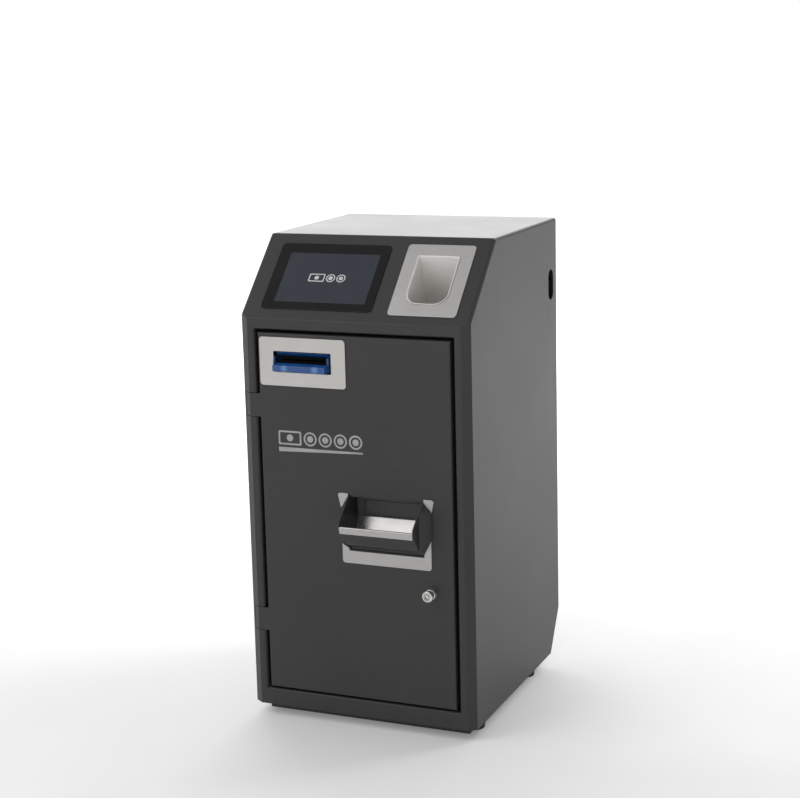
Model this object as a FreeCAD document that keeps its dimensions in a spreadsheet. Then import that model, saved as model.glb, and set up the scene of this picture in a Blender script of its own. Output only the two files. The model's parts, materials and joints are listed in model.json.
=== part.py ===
"""Free-standing cash handling cabinet: a sheet-steel body with a sloped console and a hinged door.

Frame: origin on the floor under the middle of the object, +Z up, the door faces -Y, +X to the
right of somebody facing the door. Lengths are in millimetres, angles in degrees.
"""
import FreeCAD, Part
import math
import os
import Sketcher

doc = FreeCAD.newDocument("cash_cabinet")
sheet = doc.addObject("Spreadsheet::Sheet", "sizes")


# ---------------------------------------------------------------- driving sizes

class Size:
    """A number together with the spreadsheet formula that gives it."""

    def __init__(self, number, formula):
        self.number = float(number)
        self.formula = formula

    def __add__(self, other):
        other = as_size(other)
        return Size(self.number + other.number, f"({self.formula} + {other.formula})")

    def __sub__(self, other):
        other = as_size(other)
        return Size(self.number - other.number, f"({self.formula} - {other.formula})")

    def __mul__(self, other):
        other = as_size(other)
        return Size(self.number * other.number, f"({self.formula} * {other.formula})")

    def __truediv__(self, other):
        other = as_size(other)
        return Size(self.number / other.number, f"({self.formula} / {other.formula})")

    def __radd__(self, other):
        return as_size(other) + self

    def __rsub__(self, other):
        return as_size(other) - self

    def __rmul__(self, other):
        return as_size(other) * self

    def __neg__(self):
        return as_size(0) - self


def as_size(value):
    return value if isinstance(value, Size) else Size(value, f"({float(value)})")


def sine(angle):
    return Size(math.sin(math.radians(angle.number)), f"sin({angle.formula})")


def cosine(angle):
    return Size(math.cos(math.radians(angle.number)), f"cos({angle.formula})")


def cell(name, value):
    """Puts a plain number in the sheet under its own name."""
    cell.row += 1
    sheet.set(f"A{cell.row}", name)
    sheet.set(f"B{cell.row}", str(value))
    sheet.setAlias(f"B{cell.row}", name)
    return Size(value, f"sizes.{name}")


cell.row = 0

# cabinet body
cabinet_width = cell("cabinet_width", 375)
cabinet_depth = cell("cabinet_depth", 410)
fold_height = cell("fold_height", 619.5)          # bend between the front and the console
slope_length = cell("slope_length", 166.5)        # console face, from the bend up to the top
slope_tilt = cell("slope_tilt", 45.6)             # console face, measured from the vertical
sheet_metal = cell("sheet_metal", 2)
corner_across = cell("corner_across", 13)         # bevel of the two front vertical corners
corner_back = cell("corner_back", 9)
bend_radius = cell("bend_radius", 5)
cup_reach = cell("cup_reach", 43.5)               # how far the coin cup stands out of the door
rear_cut_length = cell("rear_cut_length", 82)     # sloped cut at the bottom of the back
rear_cut_angle = cell("rear_cut_angle", 57.5)
back_inset = cell("back_inset", 6)
foot_height = cell("foot_height", 18)
foot_radius = cell("foot_radius", 20)
foot_side = cell("foot_side", 160)
foot_front = cell("foot_front", 63)
foot_rear = cell("foot_rear", 302)
anchor_across = cell("anchor_across", 240)        # floor anchor holes
anchor_along = cell("anchor_along", 200)
anchor_middle = cell("anchor_middle", 182)
anchor_radius = cell("anchor_radius", 5)

# door opening and door
opening_half = cell("opening_half", 162.5)
opening_bottom = cell("opening_bottom", 27)
opening_top = cell("opening_top", 603)
rebate_depth = cell("rebate_depth", 25)
stop_width = cell("stop_width", 10)
door_half = cell("door_half", 157.5)
door_bottom = cell("door_bottom", 30)
door_top = cell("door_top", 598.5)
door_depth = cell("door_depth", 22)
door_edge_radius = cell("door_edge_radius", 3)
ear_upper = cell("ear_upper", 485)                # middle heights of the two hinge ears
ear_lower = cell("ear_lower", 141)
ear_height = cell("ear_height", 36)
ear_gap = cell("ear_gap", 1)
hinge_x = cell("hinge_x", -172.3)
hinge_depth = cell("hinge_depth", 7)
hinge_pin_radius = cell("hinge_pin_radius", 3)
knuckle_radius = cell("knuckle_radius", 5)
running_gap = cell("running_gap", 0.05)

# what the door carries
plate_sheet = cell("plate_sheet", 1.5)
note_x = cell("note_x", -82.4)
note_height = cell("note_height", 555)
note_plate_width = cell("note_plate_width", 143.5)
note_plate_height = cell("note_plate_height", 75)
note_window_width = cell("note_window_width", 96)
note_window_height = cell("note_window_height", 32)
cup_x = cell("cup_x", 49)
cup_width = cell("cup_width", 123.2)
cup_top = cell("cup_top", 353.5)
cup_wall = cell("cup_wall", 2)
coin_plate_width = cell("coin_plate_width", 146.4)
coin_plate_flare = cell("coin_plate_flare", 5)
coin_plate_bottom = cell("coin_plate_bottom", 247)
coin_plate_top = cell("coin_plate_top", 357)
lock_x = cell("lock_x", 121)
lock_height = cell("lock_height", 212)
lock_radius = cell("lock_radius", 8.75)
lock_reach = cell("lock_reach", 20)
lock_plug_radius = cell("lock_plug_radius", 5.5)
cam_length = cell("cam_length", 40)

# console
glass_x = cell("glass_x", -65.5)
glass_width = cell("glass_width", 185)
glass_height = cell("glass_height", 127)
lcd_width = cell("lcd_width", 164)
lcd_height = cell("lcd_height", 106)
funnel_x = cell("funnel_x", 108.2)
funnel_plate_width = cell("funnel_plate_width", 109.5)
funnel_plate_height = cell("funnel_plate_height", 134)
funnel_width = cell("funnel_width", 65.8)
funnel_low = cell("funnel_low", 38.5)             # mouth, measured up the console face
funnel_high = cell("funnel_high", 127.2)
funnel_corner = cell("funnel_corner", 24)
funnel_lean = cell("funnel_lean", 23.4)           # duct, measured from the console face's normal
duct_end = cell("duct_end", 596)
slot_depth = cell("slot_depth", 381.3)            # hand slots in the cabinet's sides
slot_height = cell("slot_height", 629)
slot_width = cell("slot_width", 25)
slot_length = cell("slot_length", 50)

half_width = cabinet_width / 2
front = (cup_reach - cabinet_depth) / 2           # places the whole object's middle at y = 0
back = front + cabinet_depth
fold = foot_height + fold_height
crest = front + slope_length * sine(slope_tilt)
top = fold + slope_length * cosine(slope_tilt)
rear_run = rear_cut_length * cosine(rear_cut_angle)
rear_rise = rear_cut_length * sine(rear_cut_angle)
wall_inside = half_width - sheet_metal


def deep(distance):
    """A place measured backwards from the door's front face."""
    return front + distance


def high(distance):
    """A place measured upwards from the bottom of the cabinet body."""
    return foot_height + distance


# ---------------------------------------------------------------- helpers

SKETCH_PLANES = {"X": "YZ_Plane", "Y": "XZ_Plane", "Z": "XY_Plane"}


class Circle:
    def __init__(self, across, up, radius):
        self.across = as_size(across)
        self.up = as_size(up)
        self.radius = as_size(radius)


def rectangle(left, right, low, upper):
    return [(left, low), (right, low), (right, upper), (left, upper)]


def block_outline(middle, width, low, upper):
    return rectangle(middle - width / 2, middle + width / 2, low, upper)


def pin_coordinate(sketch, kind, geometry, place, size):
    """Fixes one coordinate of a sketch point by a formula."""
    size = as_size(size)
    row = sketch.addConstraint(Sketcher.Constraint(kind, -1, 1, geometry, place, size.number))
    sketch.setExpression(f"Constraints[{row}]", size.formula)


def draw_circle(sketch, circle):
    centre = FreeCAD.Vector(circle.across.number, circle.up.number, 0)
    flat = FreeCAD.Vector(0, 0, 1)
    edge = sketch.addGeometry(Part.Circle(centre, flat, circle.radius.number))
    pin_coordinate(sketch, "DistanceX", edge, 3, circle.across)
    pin_coordinate(sketch, "DistanceY", edge, 3, circle.up)
    row = sketch.addConstraint(Sketcher.Constraint("Radius", edge, circle.radius.number))
    sketch.setExpression(f"Constraints[{row}]", circle.radius.formula)


def draw_polygon(sketch, points):
    points = [(as_size(across), as_size(up)) for across, up in points]
    corners = [FreeCAD.Vector(across.number, up.number, 0) for across, up in points]
    lines = []
    for start, end in zip(corners, corners[1:] + corners[:1]):
        lines.append(sketch.addGeometry(Part.LineSegment(start, end)))
    for line, following in zip(lines, lines[1:] + lines[:1]):
        sketch.addConstraint(Sketcher.Constraint("Coincident", line, 2, following, 1))
    for line, (across, up) in zip(lines, points):
        pin_coordinate(sketch, "DistanceX", line, 1, across)
        pin_coordinate(sketch, "DistanceY", line, 1, up)


class Piece:
    """A PartDesign body built from pads, pockets and fillets between two levels of one axis."""

    def __init__(self, label):
        self.body = doc.addObject("PartDesign::Body", label)
        self.body.Label = label
        self.body.AllowCompound = True

    def sketch(self, axis, loops, level):
        sketch = self.body.newObject("Sketcher::SketchObject", "outline")
        for plane in self.body.Origin.OriginFeatures:
            if plane.Role == SKETCH_PLANES[axis]:
                sketch.AttachmentSupport = [(plane, "")]
        sketch.MapMode = "FlatFace"
        offset = -level if axis == "Y" else as_size(level)
        sketch.setExpression(".AttachmentOffset.Base.z", offset.formula)
        for loop in loops:
            if isinstance(loop, Circle):
                draw_circle(sketch, loop)
            else:
                draw_polygon(sketch, loop)
        return sketch

    def pad(self, axis, loops, low, upper):
        low, upper = as_size(low), as_size(upper)
        sketch = self.sketch(axis, loops, upper if axis == "Y" else low)
        pad = self.body.newObject("PartDesign::Pad", "pad")
        pad.Profile = sketch
        pad.setExpression("Length", (upper - low).formula)
        doc.recompute()
        return self

    def cut(self, axis, loops, low, upper):
        low, upper = as_size(low), as_size(upper)
        before = self.body.Shape.Volume
        sketch = self.sketch(axis, loops, low if axis == "Y" else upper)
        pocket = self.body.newObject("PartDesign::Pocket", "pocket")
        pocket.Profile = sketch
        pocket.setExpression("Length", (upper - low).formula)
        doc.recompute()
        if self.body.Shape.Volume > before - 0.01:
            raise ValueError(f"a pocket of {self.body.Label} cuts nothing")
        return self

    def repeat(self, direction, length, count):
        """Repeats the last feature in a row along one axis of the body."""
        pattern = self.body.newObject("PartDesign::LinearPattern", "row")
        pattern.Originals = [self.body.Tip]
        for axis in self.body.Origin.OriginFeatures:
            if axis.Role == direction:
                pattern.Direction = (axis, [""])
        pattern.setExpression("Length", as_size(length).formula)
        pattern.Occurrences = count
        self.body.Tip = pattern
        doc.recompute()
        return self

    def fillet(self, radius, wanted):
        """Rounds every edge that the test picks."""
        before = self.body.Tip
        names = []
        for number, edge in enumerate(before.Shape.Edges, start=1):
            if wanted(edge):
                names.append(f"Edge{number}")
        if not names:
            raise ValueError(f"no edge to round on {self.body.Label}")
        rounding = self.body.newObject("PartDesign::Fillet", "rounding")
        rounding.Base = (before, names)
        rounding.setExpression("Radius", as_size(radius).formula)
        doc.recompute()
        return self

    def on_console(self):
        """Lays the body on the console: x across, y up the face, z out of it, zero at the bend."""
        place(self.body, 0, front, fold, 90 - slope_tilt)
        return self

    def on_rear_cut(self):
        """Lays the body on the sloped cut at the back: y up the cut, z into the cabinet."""
        place(self.body, 0, back - rear_run, foot_height, rear_cut_angle)
        return self


def place(thing, across, along, up, turn_about_x):
    turn = as_size(turn_about_x)
    thing.Placement = FreeCAD.Placement(
        FreeCAD.Vector(0, 0, 0), FreeCAD.Rotation(FreeCAD.Vector(1, 0, 0), turn.number))
    thing.setExpression("Placement.Rotation.Angle", f"{turn.formula} * 1 deg")
    for letter, size in zip("xyz", (across, along, up)):
        thing.setExpression(f"Placement.Base.{letter}", as_size(size).formula)
    doc.recompute()


def straight_along(edge, axis):
    """True for a straight edge parallel to one axis."""
    if len(edge.Vertexes) != 2:
        return False
    span = edge.Vertexes[1].Point - edge.Vertexes[0].Point
    return abs(abs(getattr(span, axis.lower())) - edge.Length) < 1e-4


def near(edge, **where):
    """True when the edge's middle has the given coordinates."""
    middle = edge.valueAt((edge.FirstParameter + edge.LastParameter) / 2)
    return all(abs(getattr(middle, letter) - as_size(size).number) < 0.05
               for letter, size in where.items())


def box(label, x_span, y_span, z_span):
    """A Part box between pairs of formulas."""
    item = doc.addObject("Part::Box", label)
    item.Label = label
    for name, letter, (low, upper) in zip(("Length", "Width", "Height"), "xyz",
                                          (x_span, y_span, z_span)):
        low, upper = as_size(low), as_size(upper)
        if low.number > upper.number:
            low, upper = upper, low
        item.setExpression(name, (upper - low).formula)
        item.setExpression(f"Placement.Base.{letter}", low.formula)
    return item


AXIS_TURNS = {"X": ((0, 1, 0), 90), "Y": ((1, 0, 0), -90), "Z": ((0, 0, 1), 0)}


def cylinder(label, axis, radius, base, length):
    """A Part cylinder that starts at base = (x, y, z) and runs along +axis."""
    item = doc.addObject("Part::Cylinder", label)
    item.Label = label
    direction, angle = AXIS_TURNS[axis]
    item.Placement = FreeCAD.Placement(
        FreeCAD.Vector(0, 0, 0), FreeCAD.Rotation(FreeCAD.Vector(*direction), angle))
    item.setExpression("Radius", as_size(radius).formula)
    item.setExpression("Height", as_size(length).formula)
    for letter, size in zip("xyz", base):
        item.setExpression(f"Placement.Base.{letter}", as_size(size).formula)
    return item


def take_away(label, base, tool):
    item = doc.addObject("Part::Cut", label)
    item.Label = label
    item.Base = base
    item.Tool = tool
    doc.recompute()
    return item


def shared(label, base, tool):
    item = doc.addObject("Part::Common", label)
    item.Label = label
    item.Base = base
    item.Tool = tool
    doc.recompute()
    return item


def joined(label, items):
    item = doc.addObject("Part::MultiFuse", label)
    item.Label = label
    item.Shapes = items
    item.Refine = True
    doc.recompute()
    return item


def group(label, items):
    """Identical separate solids kept together under one name."""
    item = doc.addObject("Part::Compound", label)
    item.Label = label
    item.Links = items
    doc.recompute()
    return item


def rounded(label, base, radius, wanted):
    item = doc.addObject("Part::Fillet", label)
    item.Label = label
    item.Base = base
    edges = []
    for number, edge in enumerate(base.Shape.Edges, start=1):
        if wanted(edge):
            edges.append((number, radius.number, radius.number))
    if not edges:
        raise ValueError(f"no edge to round on {label}")
    item.Edges = edges
    doc.recompute()
    return item


kept = []


def keep(item):
    """Marks a finished sub-part for export."""
    kept.append(item.body if isinstance(item, Piece) else item)


# ---------------------------------------------------------------- cabinet body

def corner_bevel(side, across, depth, half, face):
    """The wedge that a front vertical corner loses, seen from above."""
    return [(side * (half - across), face), (side * half, face + depth),
            (side * (half + 1), face + depth), (side * (half + 1), face - 1),
            (side * (half - across), face - 1)]


def bevelled_block(label, outline, half, across, depth, face):
    block = Piece(label)
    block.pad("X", [outline], -half, half)
    for side in (-1, 1):
        wedge = corner_bevel(side, across, depth, half, face)
        block.cut("Z", [wedge], 0, top + 10)
    return block


outer_outline = [(front, foot_height), (front, fold), (crest, top), (back, top),
                 (back, foot_height + rear_rise), (back - rear_run, foot_height)]
outer = bevelled_block("outer_form", outer_outline, half_width, corner_across, corner_back, front)


def console_side_edge(edge):
    middle = edge.valueAt((edge.FirstParameter + edge.LastParameter) / 2)
    on_side = abs(abs(middle.x) - half_width.number) < 0.05
    return on_side and middle.z > fold.number + corner_back.number + 1 and middle.y < back.number - 1


outer.fillet(bend_radius, lambda edge: straight_along(edge, "X")
             and (near(edge, y=crest, z=top) or near(edge, y=front, z=fold)))
outer.fillet(bend_radius, console_side_edge)

inner_face = front + sheet_metal
inner_fold = fold + sheet_metal * (cosine(slope_tilt) - 1) / sine(slope_tilt)
inner_crest = crest + sheet_metal * (1 - sine(slope_tilt)) / cosine(slope_tilt)
hollow_outline = [(inner_face, foot_height - 5), (inner_face, inner_fold),
                  (inner_crest, top - sheet_metal), (back + 5, top - sheet_metal),
                  (back + 5, foot_height - 5)]
hollow = bevelled_block("hollow_form", hollow_outline, wall_inside, corner_across - 1.4,
                        corner_back - 1, inner_face)
shell = take_away("shell_form", outer.body, hollow.body)

stop_back = rebate_depth + sheet_metal
opening_return = opening_half + sheet_metal
stop_half = opening_half - stop_width
seam = high(opening_top) + 8


def framed_shell():
    """The shell with the door opening, its folded rebate and the stop lip behind the door."""
    low, upper = high(opening_bottom), high(opening_top)
    opening = box("door_opening", (-opening_half, opening_half), (front - 1, deep(40)),
                  (low, upper))
    open_shell = take_away("open_shell", shell, opening)
    rebate = Piece("door_rebate")
    outside = rectangle(-opening_return, opening_return, low - sheet_metal, upper + sheet_metal)
    rebate.pad("Y", [outside, rectangle(-opening_half, opening_half, low, upper)],
               inner_face, deep(stop_back))
    rebate.pad("Y", [outside, rectangle(-stop_half, stop_half, low + stop_width,
                                        upper - stop_width)],
               deep(rebate_depth), deep(stop_back))
    whole = joined("framed_shell", [open_shell, rebate.body])

    def opening_edge(edge):
        upright = straight_along(edge, "Z") and (near(edge, x=opening_half, y=front)
                                                 or near(edge, x=-opening_half, y=front))
        level = straight_along(edge, "X") and (near(edge, y=front, z=low)
                                               or near(edge, y=front, z=upper))
        return upright or level

    return rounded("bent_shell", whole, bend_radius, opening_edge)


bent_shell = framed_shell()


def region(label, outline):
    """The part of the shell inside an outline drawn on the front view."""
    zone = Piece(label + "_zone")
    zone.pad("Y", [outline], front - 1, back + 1)
    return shared(label + "_sheet", bent_shell, zone.body)


def side_panel(side, label):
    """One side wall with its bevelled front stile, door rebate and rear flange."""
    low, upper = high(opening_bottom), high(opening_top)
    wall, outside = side * wall_inside, side * (half_width + 1)
    stile, stop = side * opening_half, side * stop_half
    sheet_part = region(label, [
        (stile, foot_height - 1), (outside, foot_height - 1), (outside, top + 1), (wall, top + 1),
        (wall, seam), (stile, seam), (stile, upper), (stop, upper), (stop, low), (stile, low)])
    flange = box(label + "_flange", (side * (half_width - 18), side * wall_inside),
                 (back - back_inset - sheet_metal, back - back_inset),
                 (foot_height + rear_rise + 4, top - sheet_metal))
    folded = joined(label + "_folded", [sheet_part, flange])
    holes = Piece(label + "_holes")
    x_low, x_high = sorted((side * (wall_inside - 1), outside), key=lambda size: size.number)
    slot_centre = deep(slot_depth)
    straight = slot_length / 2 - slot_width / 2
    holes.pad("X", [rectangle(slot_centre - slot_width / 2, slot_centre + slot_width / 2,
                              high(slot_height) - straight, high(slot_height) + straight)],
              x_low, x_high)
    for end in (-1, 1):
        holes.pad("X", [Circle(slot_centre, high(slot_height) + end * straight, slot_width / 2)],
                  x_low, x_high)
    tools = [holes.body]
    if side < 0:
        for ear in (ear_upper, ear_lower):
            tools.append(box(label + "_notch", (hinge_x - 11.2, 1 - opening_half),
                             (front - 1, deep(18)),
                             (high(ear - ear_height / 2 - ear_gap),
                              high(ear + ear_height / 2 + ear_gap))))
    for height in back_screw_heights:
        tools.append(cylinder(label + "_screw_hole", "Y", back_screw_radius,
                              (side * back_screw_x, back - 12, high(height)), 12))
    keep(take_away(label, folded, joined(label + "_openings", tools)))


back_screw_radius = as_size(2)
back_screw_x = half_width - 10
lower_screw_heights = (95, 172)
upper_screw_heights = (215, 425, 635)
back_screw_heights = lower_screw_heights + upper_screw_heights
side_panel(-1, "left_side_panel")
side_panel(1, "right_side_panel")


def console_and_top():
    """One bent sheet: header over the door, sloped console and the top."""
    upper = high(opening_top)
    bent = region("top", [
        (-opening_half, upper), (-stop_half, upper), (-stop_half, upper - stop_width - 3),
        (stop_half, upper - stop_width - 3), (stop_half, upper), (opening_half, upper),
        (opening_half, seam), (wall_inside, seam), (wall_inside, top + 1),
        (-wall_inside, top + 1), (-wall_inside, seam), (-opening_half, seam)])
    flange = box("top_flange", (-(half_width - 20), half_width - 20),
                 (back - back_inset - sheet_metal, back - back_inset),
                 (top - sheet_metal - 16, top - sheet_metal))
    windows = Piece("console_windows")
    middle = slope_length / 2
    windows.pad("Z", [block_outline(glass_x, lcd_width + 2, middle - lcd_height / 2 - 1,
                                    middle + lcd_height / 2 + 1),
                      block_outline(funnel_x, funnel_width + 8, funnel_low - 4, funnel_high + 4)],
                -6, 6)
    windows.on_console()
    keep(take_away("console_and_top_panel", joined("top_folded", [bent, flange]), windows.body))


console_and_top()

sill_top = high(opening_bottom)
sill = region("sill", [
    (-opening_half, foot_height - 1), (opening_half, foot_height - 1), (opening_half, sill_top),
    (stop_half, sill_top), (stop_half, sill_top + stop_width + 3),
    (-stop_half, sill_top + stop_width + 3), (-stop_half, sill_top), (-opening_half, sill_top)])
sill.Label = "front_sill"
keep(sill)


def base_pan():
    """Floor of the cabinet, with four anchor holes for the floor bolts."""
    slab = shared("base_slab", hollow.body, box(
        "base_zone", (-half_width, half_width), (front, back - rear_run - 3),
        (foot_height, foot_height + sheet_metal)))
    holes = []
    for side in (-1, 1):
        for end in (-1, 1):
            centre = (side * anchor_across / 2, deep(anchor_middle + end * anchor_along / 2),
                      foot_height - 1)
            holes.append(cylinder("anchor_hole", "Z", anchor_radius, centre, sheet_metal + 2))
    keep(take_away("base_pan", slab, joined("anchor_holes", holes)))


base_pan()

rail_low = foot_height - 14
for name, rail_front in (("front_plinth_rail", 22), ("rear_plinth_rail", 326)):
    rail = Piece(name)
    rail.pad("Z", [rectangle(-170, 170, deep(rail_front), deep(rail_front + 16))],
             rail_low, foot_height)
    rail.fillet(2, lambda edge: straight_along(edge, "Z"))
    keep(rail)

feet = []
for side in (-1, 1):
    for distance in (foot_front, foot_rear):
        foot = doc.addObject("Part::Cone", "foot")
        foot.setExpression("Radius1", (foot_radius - 2).formula)
        foot.setExpression("Radius2", foot_radius.formula)
        foot.setExpression("Height", foot_height.formula)
        foot.setExpression("Placement.Base.x", (side * foot_side).formula)
        foot.setExpression("Placement.Base.y", deep(distance).formula)
        feet.append(foot)
keep(group("rubber_feet", feet))


def back_panels():
    """Removable service panel with two louvre fields, and the connector panel below it."""
    outer_side = back - back_inset + plate_sheet
    side_edge = wall_inside - 1
    panel = Piece("back_panel")
    panel.pad("Y", [rectangle(-side_edge, side_edge, high(panel_seam + 0.5),
                              top - sheet_metal - 1)], back - back_inset, outer_side)
    for side in (-1, 1):
        louvre_middle = side * as_size(78)
        panel.cut("Y", [block_outline(louvre_middle, 90, high(520), high(520) + 3.5)],
                  back - back_inset - 1, outer_side + 1)
        panel.repeat("Z_Axis", 100, 11)

    lower = Piece("connector_panel")
    lower.pad("Y", [rectangle(-side_edge, side_edge, high(72), high(panel_seam - 0.5))],
              back - back_inset, outer_side)
    lower.cut("Y", [block_outline(as_size(inlet_x), 28, high(connector_height - 10.5),
                                  high(connector_height + 10.5)),
                    block_outline(as_size(switch_x), 14, high(connector_height - 10),
                                  high(connector_height + 10)),
                    block_outline(as_size(port_x), 50, high(connector_height - 9),
                                  high(connector_height + 9))],
              back - back_inset - 1, outer_side + 1)

    screws = Piece("back_panel_screws")
    shanks, heads = [], []
    for piece, heights in ((lower, lower_screw_heights), (panel, upper_screw_heights)):
        holes = []
        for side in (-1, 1):
            for height in heights:
                holes.append(Circle(side * back_screw_x, high(height), back_screw_radius + 0.2))
                shanks.append(Circle(side * back_screw_x, high(height), back_screw_radius))
                heads.append(Circle(side * back_screw_x, high(height), 3.8))
        piece.cut("Y", holes, back - back_inset - 1, outer_side + 1)
        keep(piece)
    screws.pad("Y", shanks, back - back_inset - 4, outer_side)
    screws.pad("Y", heads, outer_side, outer_side + 2.2)
    keep(screws)


inlet_x = 120
switch_x = 78
port_x = -110
connector_height = 150
panel_seam = 190
back_panels()

rear_plate = Piece("rear_lower_plate")
rear_plate.pad("Z", [rectangle(-(wall_inside - 0.5), wall_inside - 0.5, 1, rear_cut_length - 1)],
               sheet_metal, sheet_metal * 2)
rear_plate.on_rear_cut()
keep(rear_plate)


def connectors():
    """Mains inlet, rocker switch in its bezel, and the socket block, all on the back panel."""
    face = back - back_inset + plate_sheet
    rise = high(connector_height)
    inlet_middle = as_size(inlet_x)
    inlet = Piece("mains_inlet")
    inlet.pad("Y", [block_outline(inlet_middle, 48, rise - 13, rise + 13)], face, face + 2.5)
    inlet.pad("Y", [block_outline(inlet_middle, 27, rise - 10, rise + 10)], face - 22, face)
    inlet.cut("Y", [block_outline(inlet_middle, 24, rise - 8, rise + 8)], face - 15, face + 3)
    blades = [block_outline(inlet_middle + offset, 2, rise + low, rise + low + 4)
              for offset, low in ((-7, -1), (0, 2.5), (7, -1))]
    inlet.pad("Y", blades, face - 15, face - 2)
    keep(inlet)

    switch_middle = as_size(switch_x)
    bezel = Piece("switch_bezel")
    bezel.pad("Y", [block_outline(switch_middle, 18, rise - 13, rise + 13)], face, face + 2)
    bezel.pad("Y", [block_outline(switch_middle, 13, rise - 9.5, rise + 9.5)], face - 16, face)
    bezel.cut("Y", [block_outline(switch_middle, 10.4, rise - 8.6, rise + 8.6)],
              face - 8, face + 3)
    keep(bezel)

    rocker = Piece("power_rocker")
    rocker.pad("X", [[(-3.5, -7.6), (1.6, -7.8), (2.4, 0), (4.2, 7.6), (-3.5, 7.6)]],
               switch_middle - 4.9, switch_middle + 4.9)
    place(rocker.body, 0, face - 1.2, rise, 0)
    keep(rocker)

    sockets = Piece("socket_block")
    port_middle = as_size(port_x)
    sockets.pad("Y", [block_outline(port_middle, 58, rise - 12, rise + 12)], face, face + 1.5)
    sockets.pad("Y", [block_outline(port_middle, 48, rise - 8.5, rise + 8.5)], face - 18, face)
    mouths = [block_outline(port_middle + offset, 12.4, rise - 5, rise + 4)
              for offset in (-15, 15)]
    sockets.cut("Y", mouths, face - 13, face + 2)
    keep(sockets)


connectors()


# ---------------------------------------------------------------- console

def screen():
    """Cover glass on the console, the display behind it and the tray that holds both."""
    middle = slope_length / 2
    glass = Piece("screen_glass")
    glass.pad("Z", [block_outline(glass_x, glass_width, middle - glass_height / 2,
                                  middle + glass_height / 2)], 0, 1.2)
    glass.fillet(7, lambda edge: straight_along(edge, "Z"))
    glass.on_console()
    keep(glass)

    display = Piece("display_module")
    display.pad("Z", [block_outline(glass_x, lcd_width, middle - lcd_height / 2,
                                    middle + lcd_height / 2)], -11, -0.2)
    display.on_console()
    keep(display)

    tray = Piece("display_tray")
    tray.pad("Z", [block_outline(glass_x, lcd_width + 16, middle - lcd_height / 2 + 2,
                                 middle + lcd_height / 2 - 2)], -13, -11)
    for side in (-1, 1):
        leg = glass_x + side * (lcd_width / 2 + 5)
        tray.pad("Z", [block_outline(leg, 6, middle - 30, middle + 30)], -11, -sheet_metal)
    tray.on_console()
    keep(tray)


screen()


def funnel_mouth(grow):
    return block_outline(funnel_x, funnel_width + grow * 2, funnel_low - grow, funnel_high + grow)


def round_funnel(piece, grow, upper, lower):
    """Gives the mouth its large lower corners and small upper ones."""
    half = funnel_width.number / 2 + grow

    def corner(edge, height):
        middle = edge.valueAt((edge.FirstParameter + edge.LastParameter) / 2)
        start = edge.valueAt(edge.FirstParameter)
        end = edge.valueAt(edge.LastParameter)
        level = min((start, end), key=lambda point: abs(point.z))
        lifted = abs(start.z - end.z) > 1
        return (lifted and abs(abs(middle.x - funnel_x.number) - half) < 0.05
                and abs(level.y - height) < 0.05)

    piece.fillet(upper, lambda edge: corner(edge, funnel_high.number + grow))
    piece.fillet(lower, lambda edge: corner(edge, funnel_low.number - grow))


def funnel():
    """Stainless mouth plate on the console and the leaning duct that drops coins inside."""
    middle = slope_length / 2
    plate = Piece("coin_funnel_plate")
    low_edge = middle - funnel_plate_height / 2
    high_edge = middle + funnel_plate_height / 2
    plate.pad("Z", [block_outline(funnel_x, funnel_plate_width, low_edge, high_edge)],
              0, plate_sheet)
    plate.fillet(6, lambda edge: straight_along(edge, "Z"))
    plate.cut("Z", [funnel_mouth(0)], -1, plate_sheet + 1)
    round_funnel(plate, 0, as_size(3), funnel_corner)
    plate.on_console()
    keep(plate)

    tubes = []
    for label, grow in (("duct_outside", plate_sheet.number), ("duct_inside", 0)):
        tube = Piece(label)
        depth = 0 if grow else 2
        outline = tube.sketch("Z", [funnel_mouth(grow)], as_size(depth))
        pad = tube.body.newObject("PartDesign::Pad", "pad")
        pad.Profile = outline
        pad.UseCustomVector = True
        lean = math.radians(funnel_lean.number)
        pad.Direction = FreeCAD.Vector(0, -math.sin(lean), -math.cos(lean))
        pad.AlongSketchNormal = False
        pad.Length = 150
        doc.recompute()
        round_funnel(tube, grow, as_size(3 + grow), funnel_corner + grow)
        tube.on_console()
        tubes.append(tube.body)
    duct = take_away("duct_tube", tubes[0], tubes[1])
    zone = box("duct_zone", (0, half_width), (front, back), (high(duct_end), top))
    keep(shared("coin_funnel_duct", duct, zone))


funnel()


# ---------------------------------------------------------------- door

def ear_outline():
    """A hinge ear seen from above: flat on the door, then bent back along the corner bevel."""
    bevel = half_width - corner_across
    reach = as_size(8)
    drop = reach * corner_back / corner_across
    return [(-(door_half - 5), front), (-bevel, front), (-(bevel + reach), front + drop),
            (-(bevel + reach) + 1.2, front + drop + 1.7), (-bevel + 0.6, inner_face),
            (-(door_half - 5), inner_face)]


def ear_span(ear):
    return high(ear - ear_height / 2), high(ear + ear_height / 2)


def door_panel():
    panel = Piece("door_panel")
    panel.pad("Y", [rectangle(-door_half, door_half, high(door_bottom), high(door_top))],
              front, deep(door_depth))
    inner_half = door_half - sheet_metal
    panel.cut("Y", [rectangle(-inner_half, inner_half, high(door_bottom + sheet_metal),
                              high(door_top - sheet_metal))], inner_face, deep(door_depth + 1))

    def front_edge(edge):
        corners = [vertex.Point for vertex in edge.Vertexes]
        return all(abs(point.y - front.number) < 0.01 for point in corners)

    panel.fillet(door_edge_radius, front_edge)
    panel.cut("Y", [block_outline(note_x, note_window_width + 3, high(note_height) - 17.5,
                                  high(note_height) + 17.5),
                    block_outline(cup_x, cup_width + 1, high(268.5), high(cup_top) + 0.5),
                    Circle(lock_x, high(lock_height), lock_radius + 0.4)],
              front - 1, deep(5))
    for ear in (ear_upper, ear_lower):
        panel.pad("Z", [ear_outline()], *ear_span(ear))
    keep(panel)


door_panel()

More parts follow.
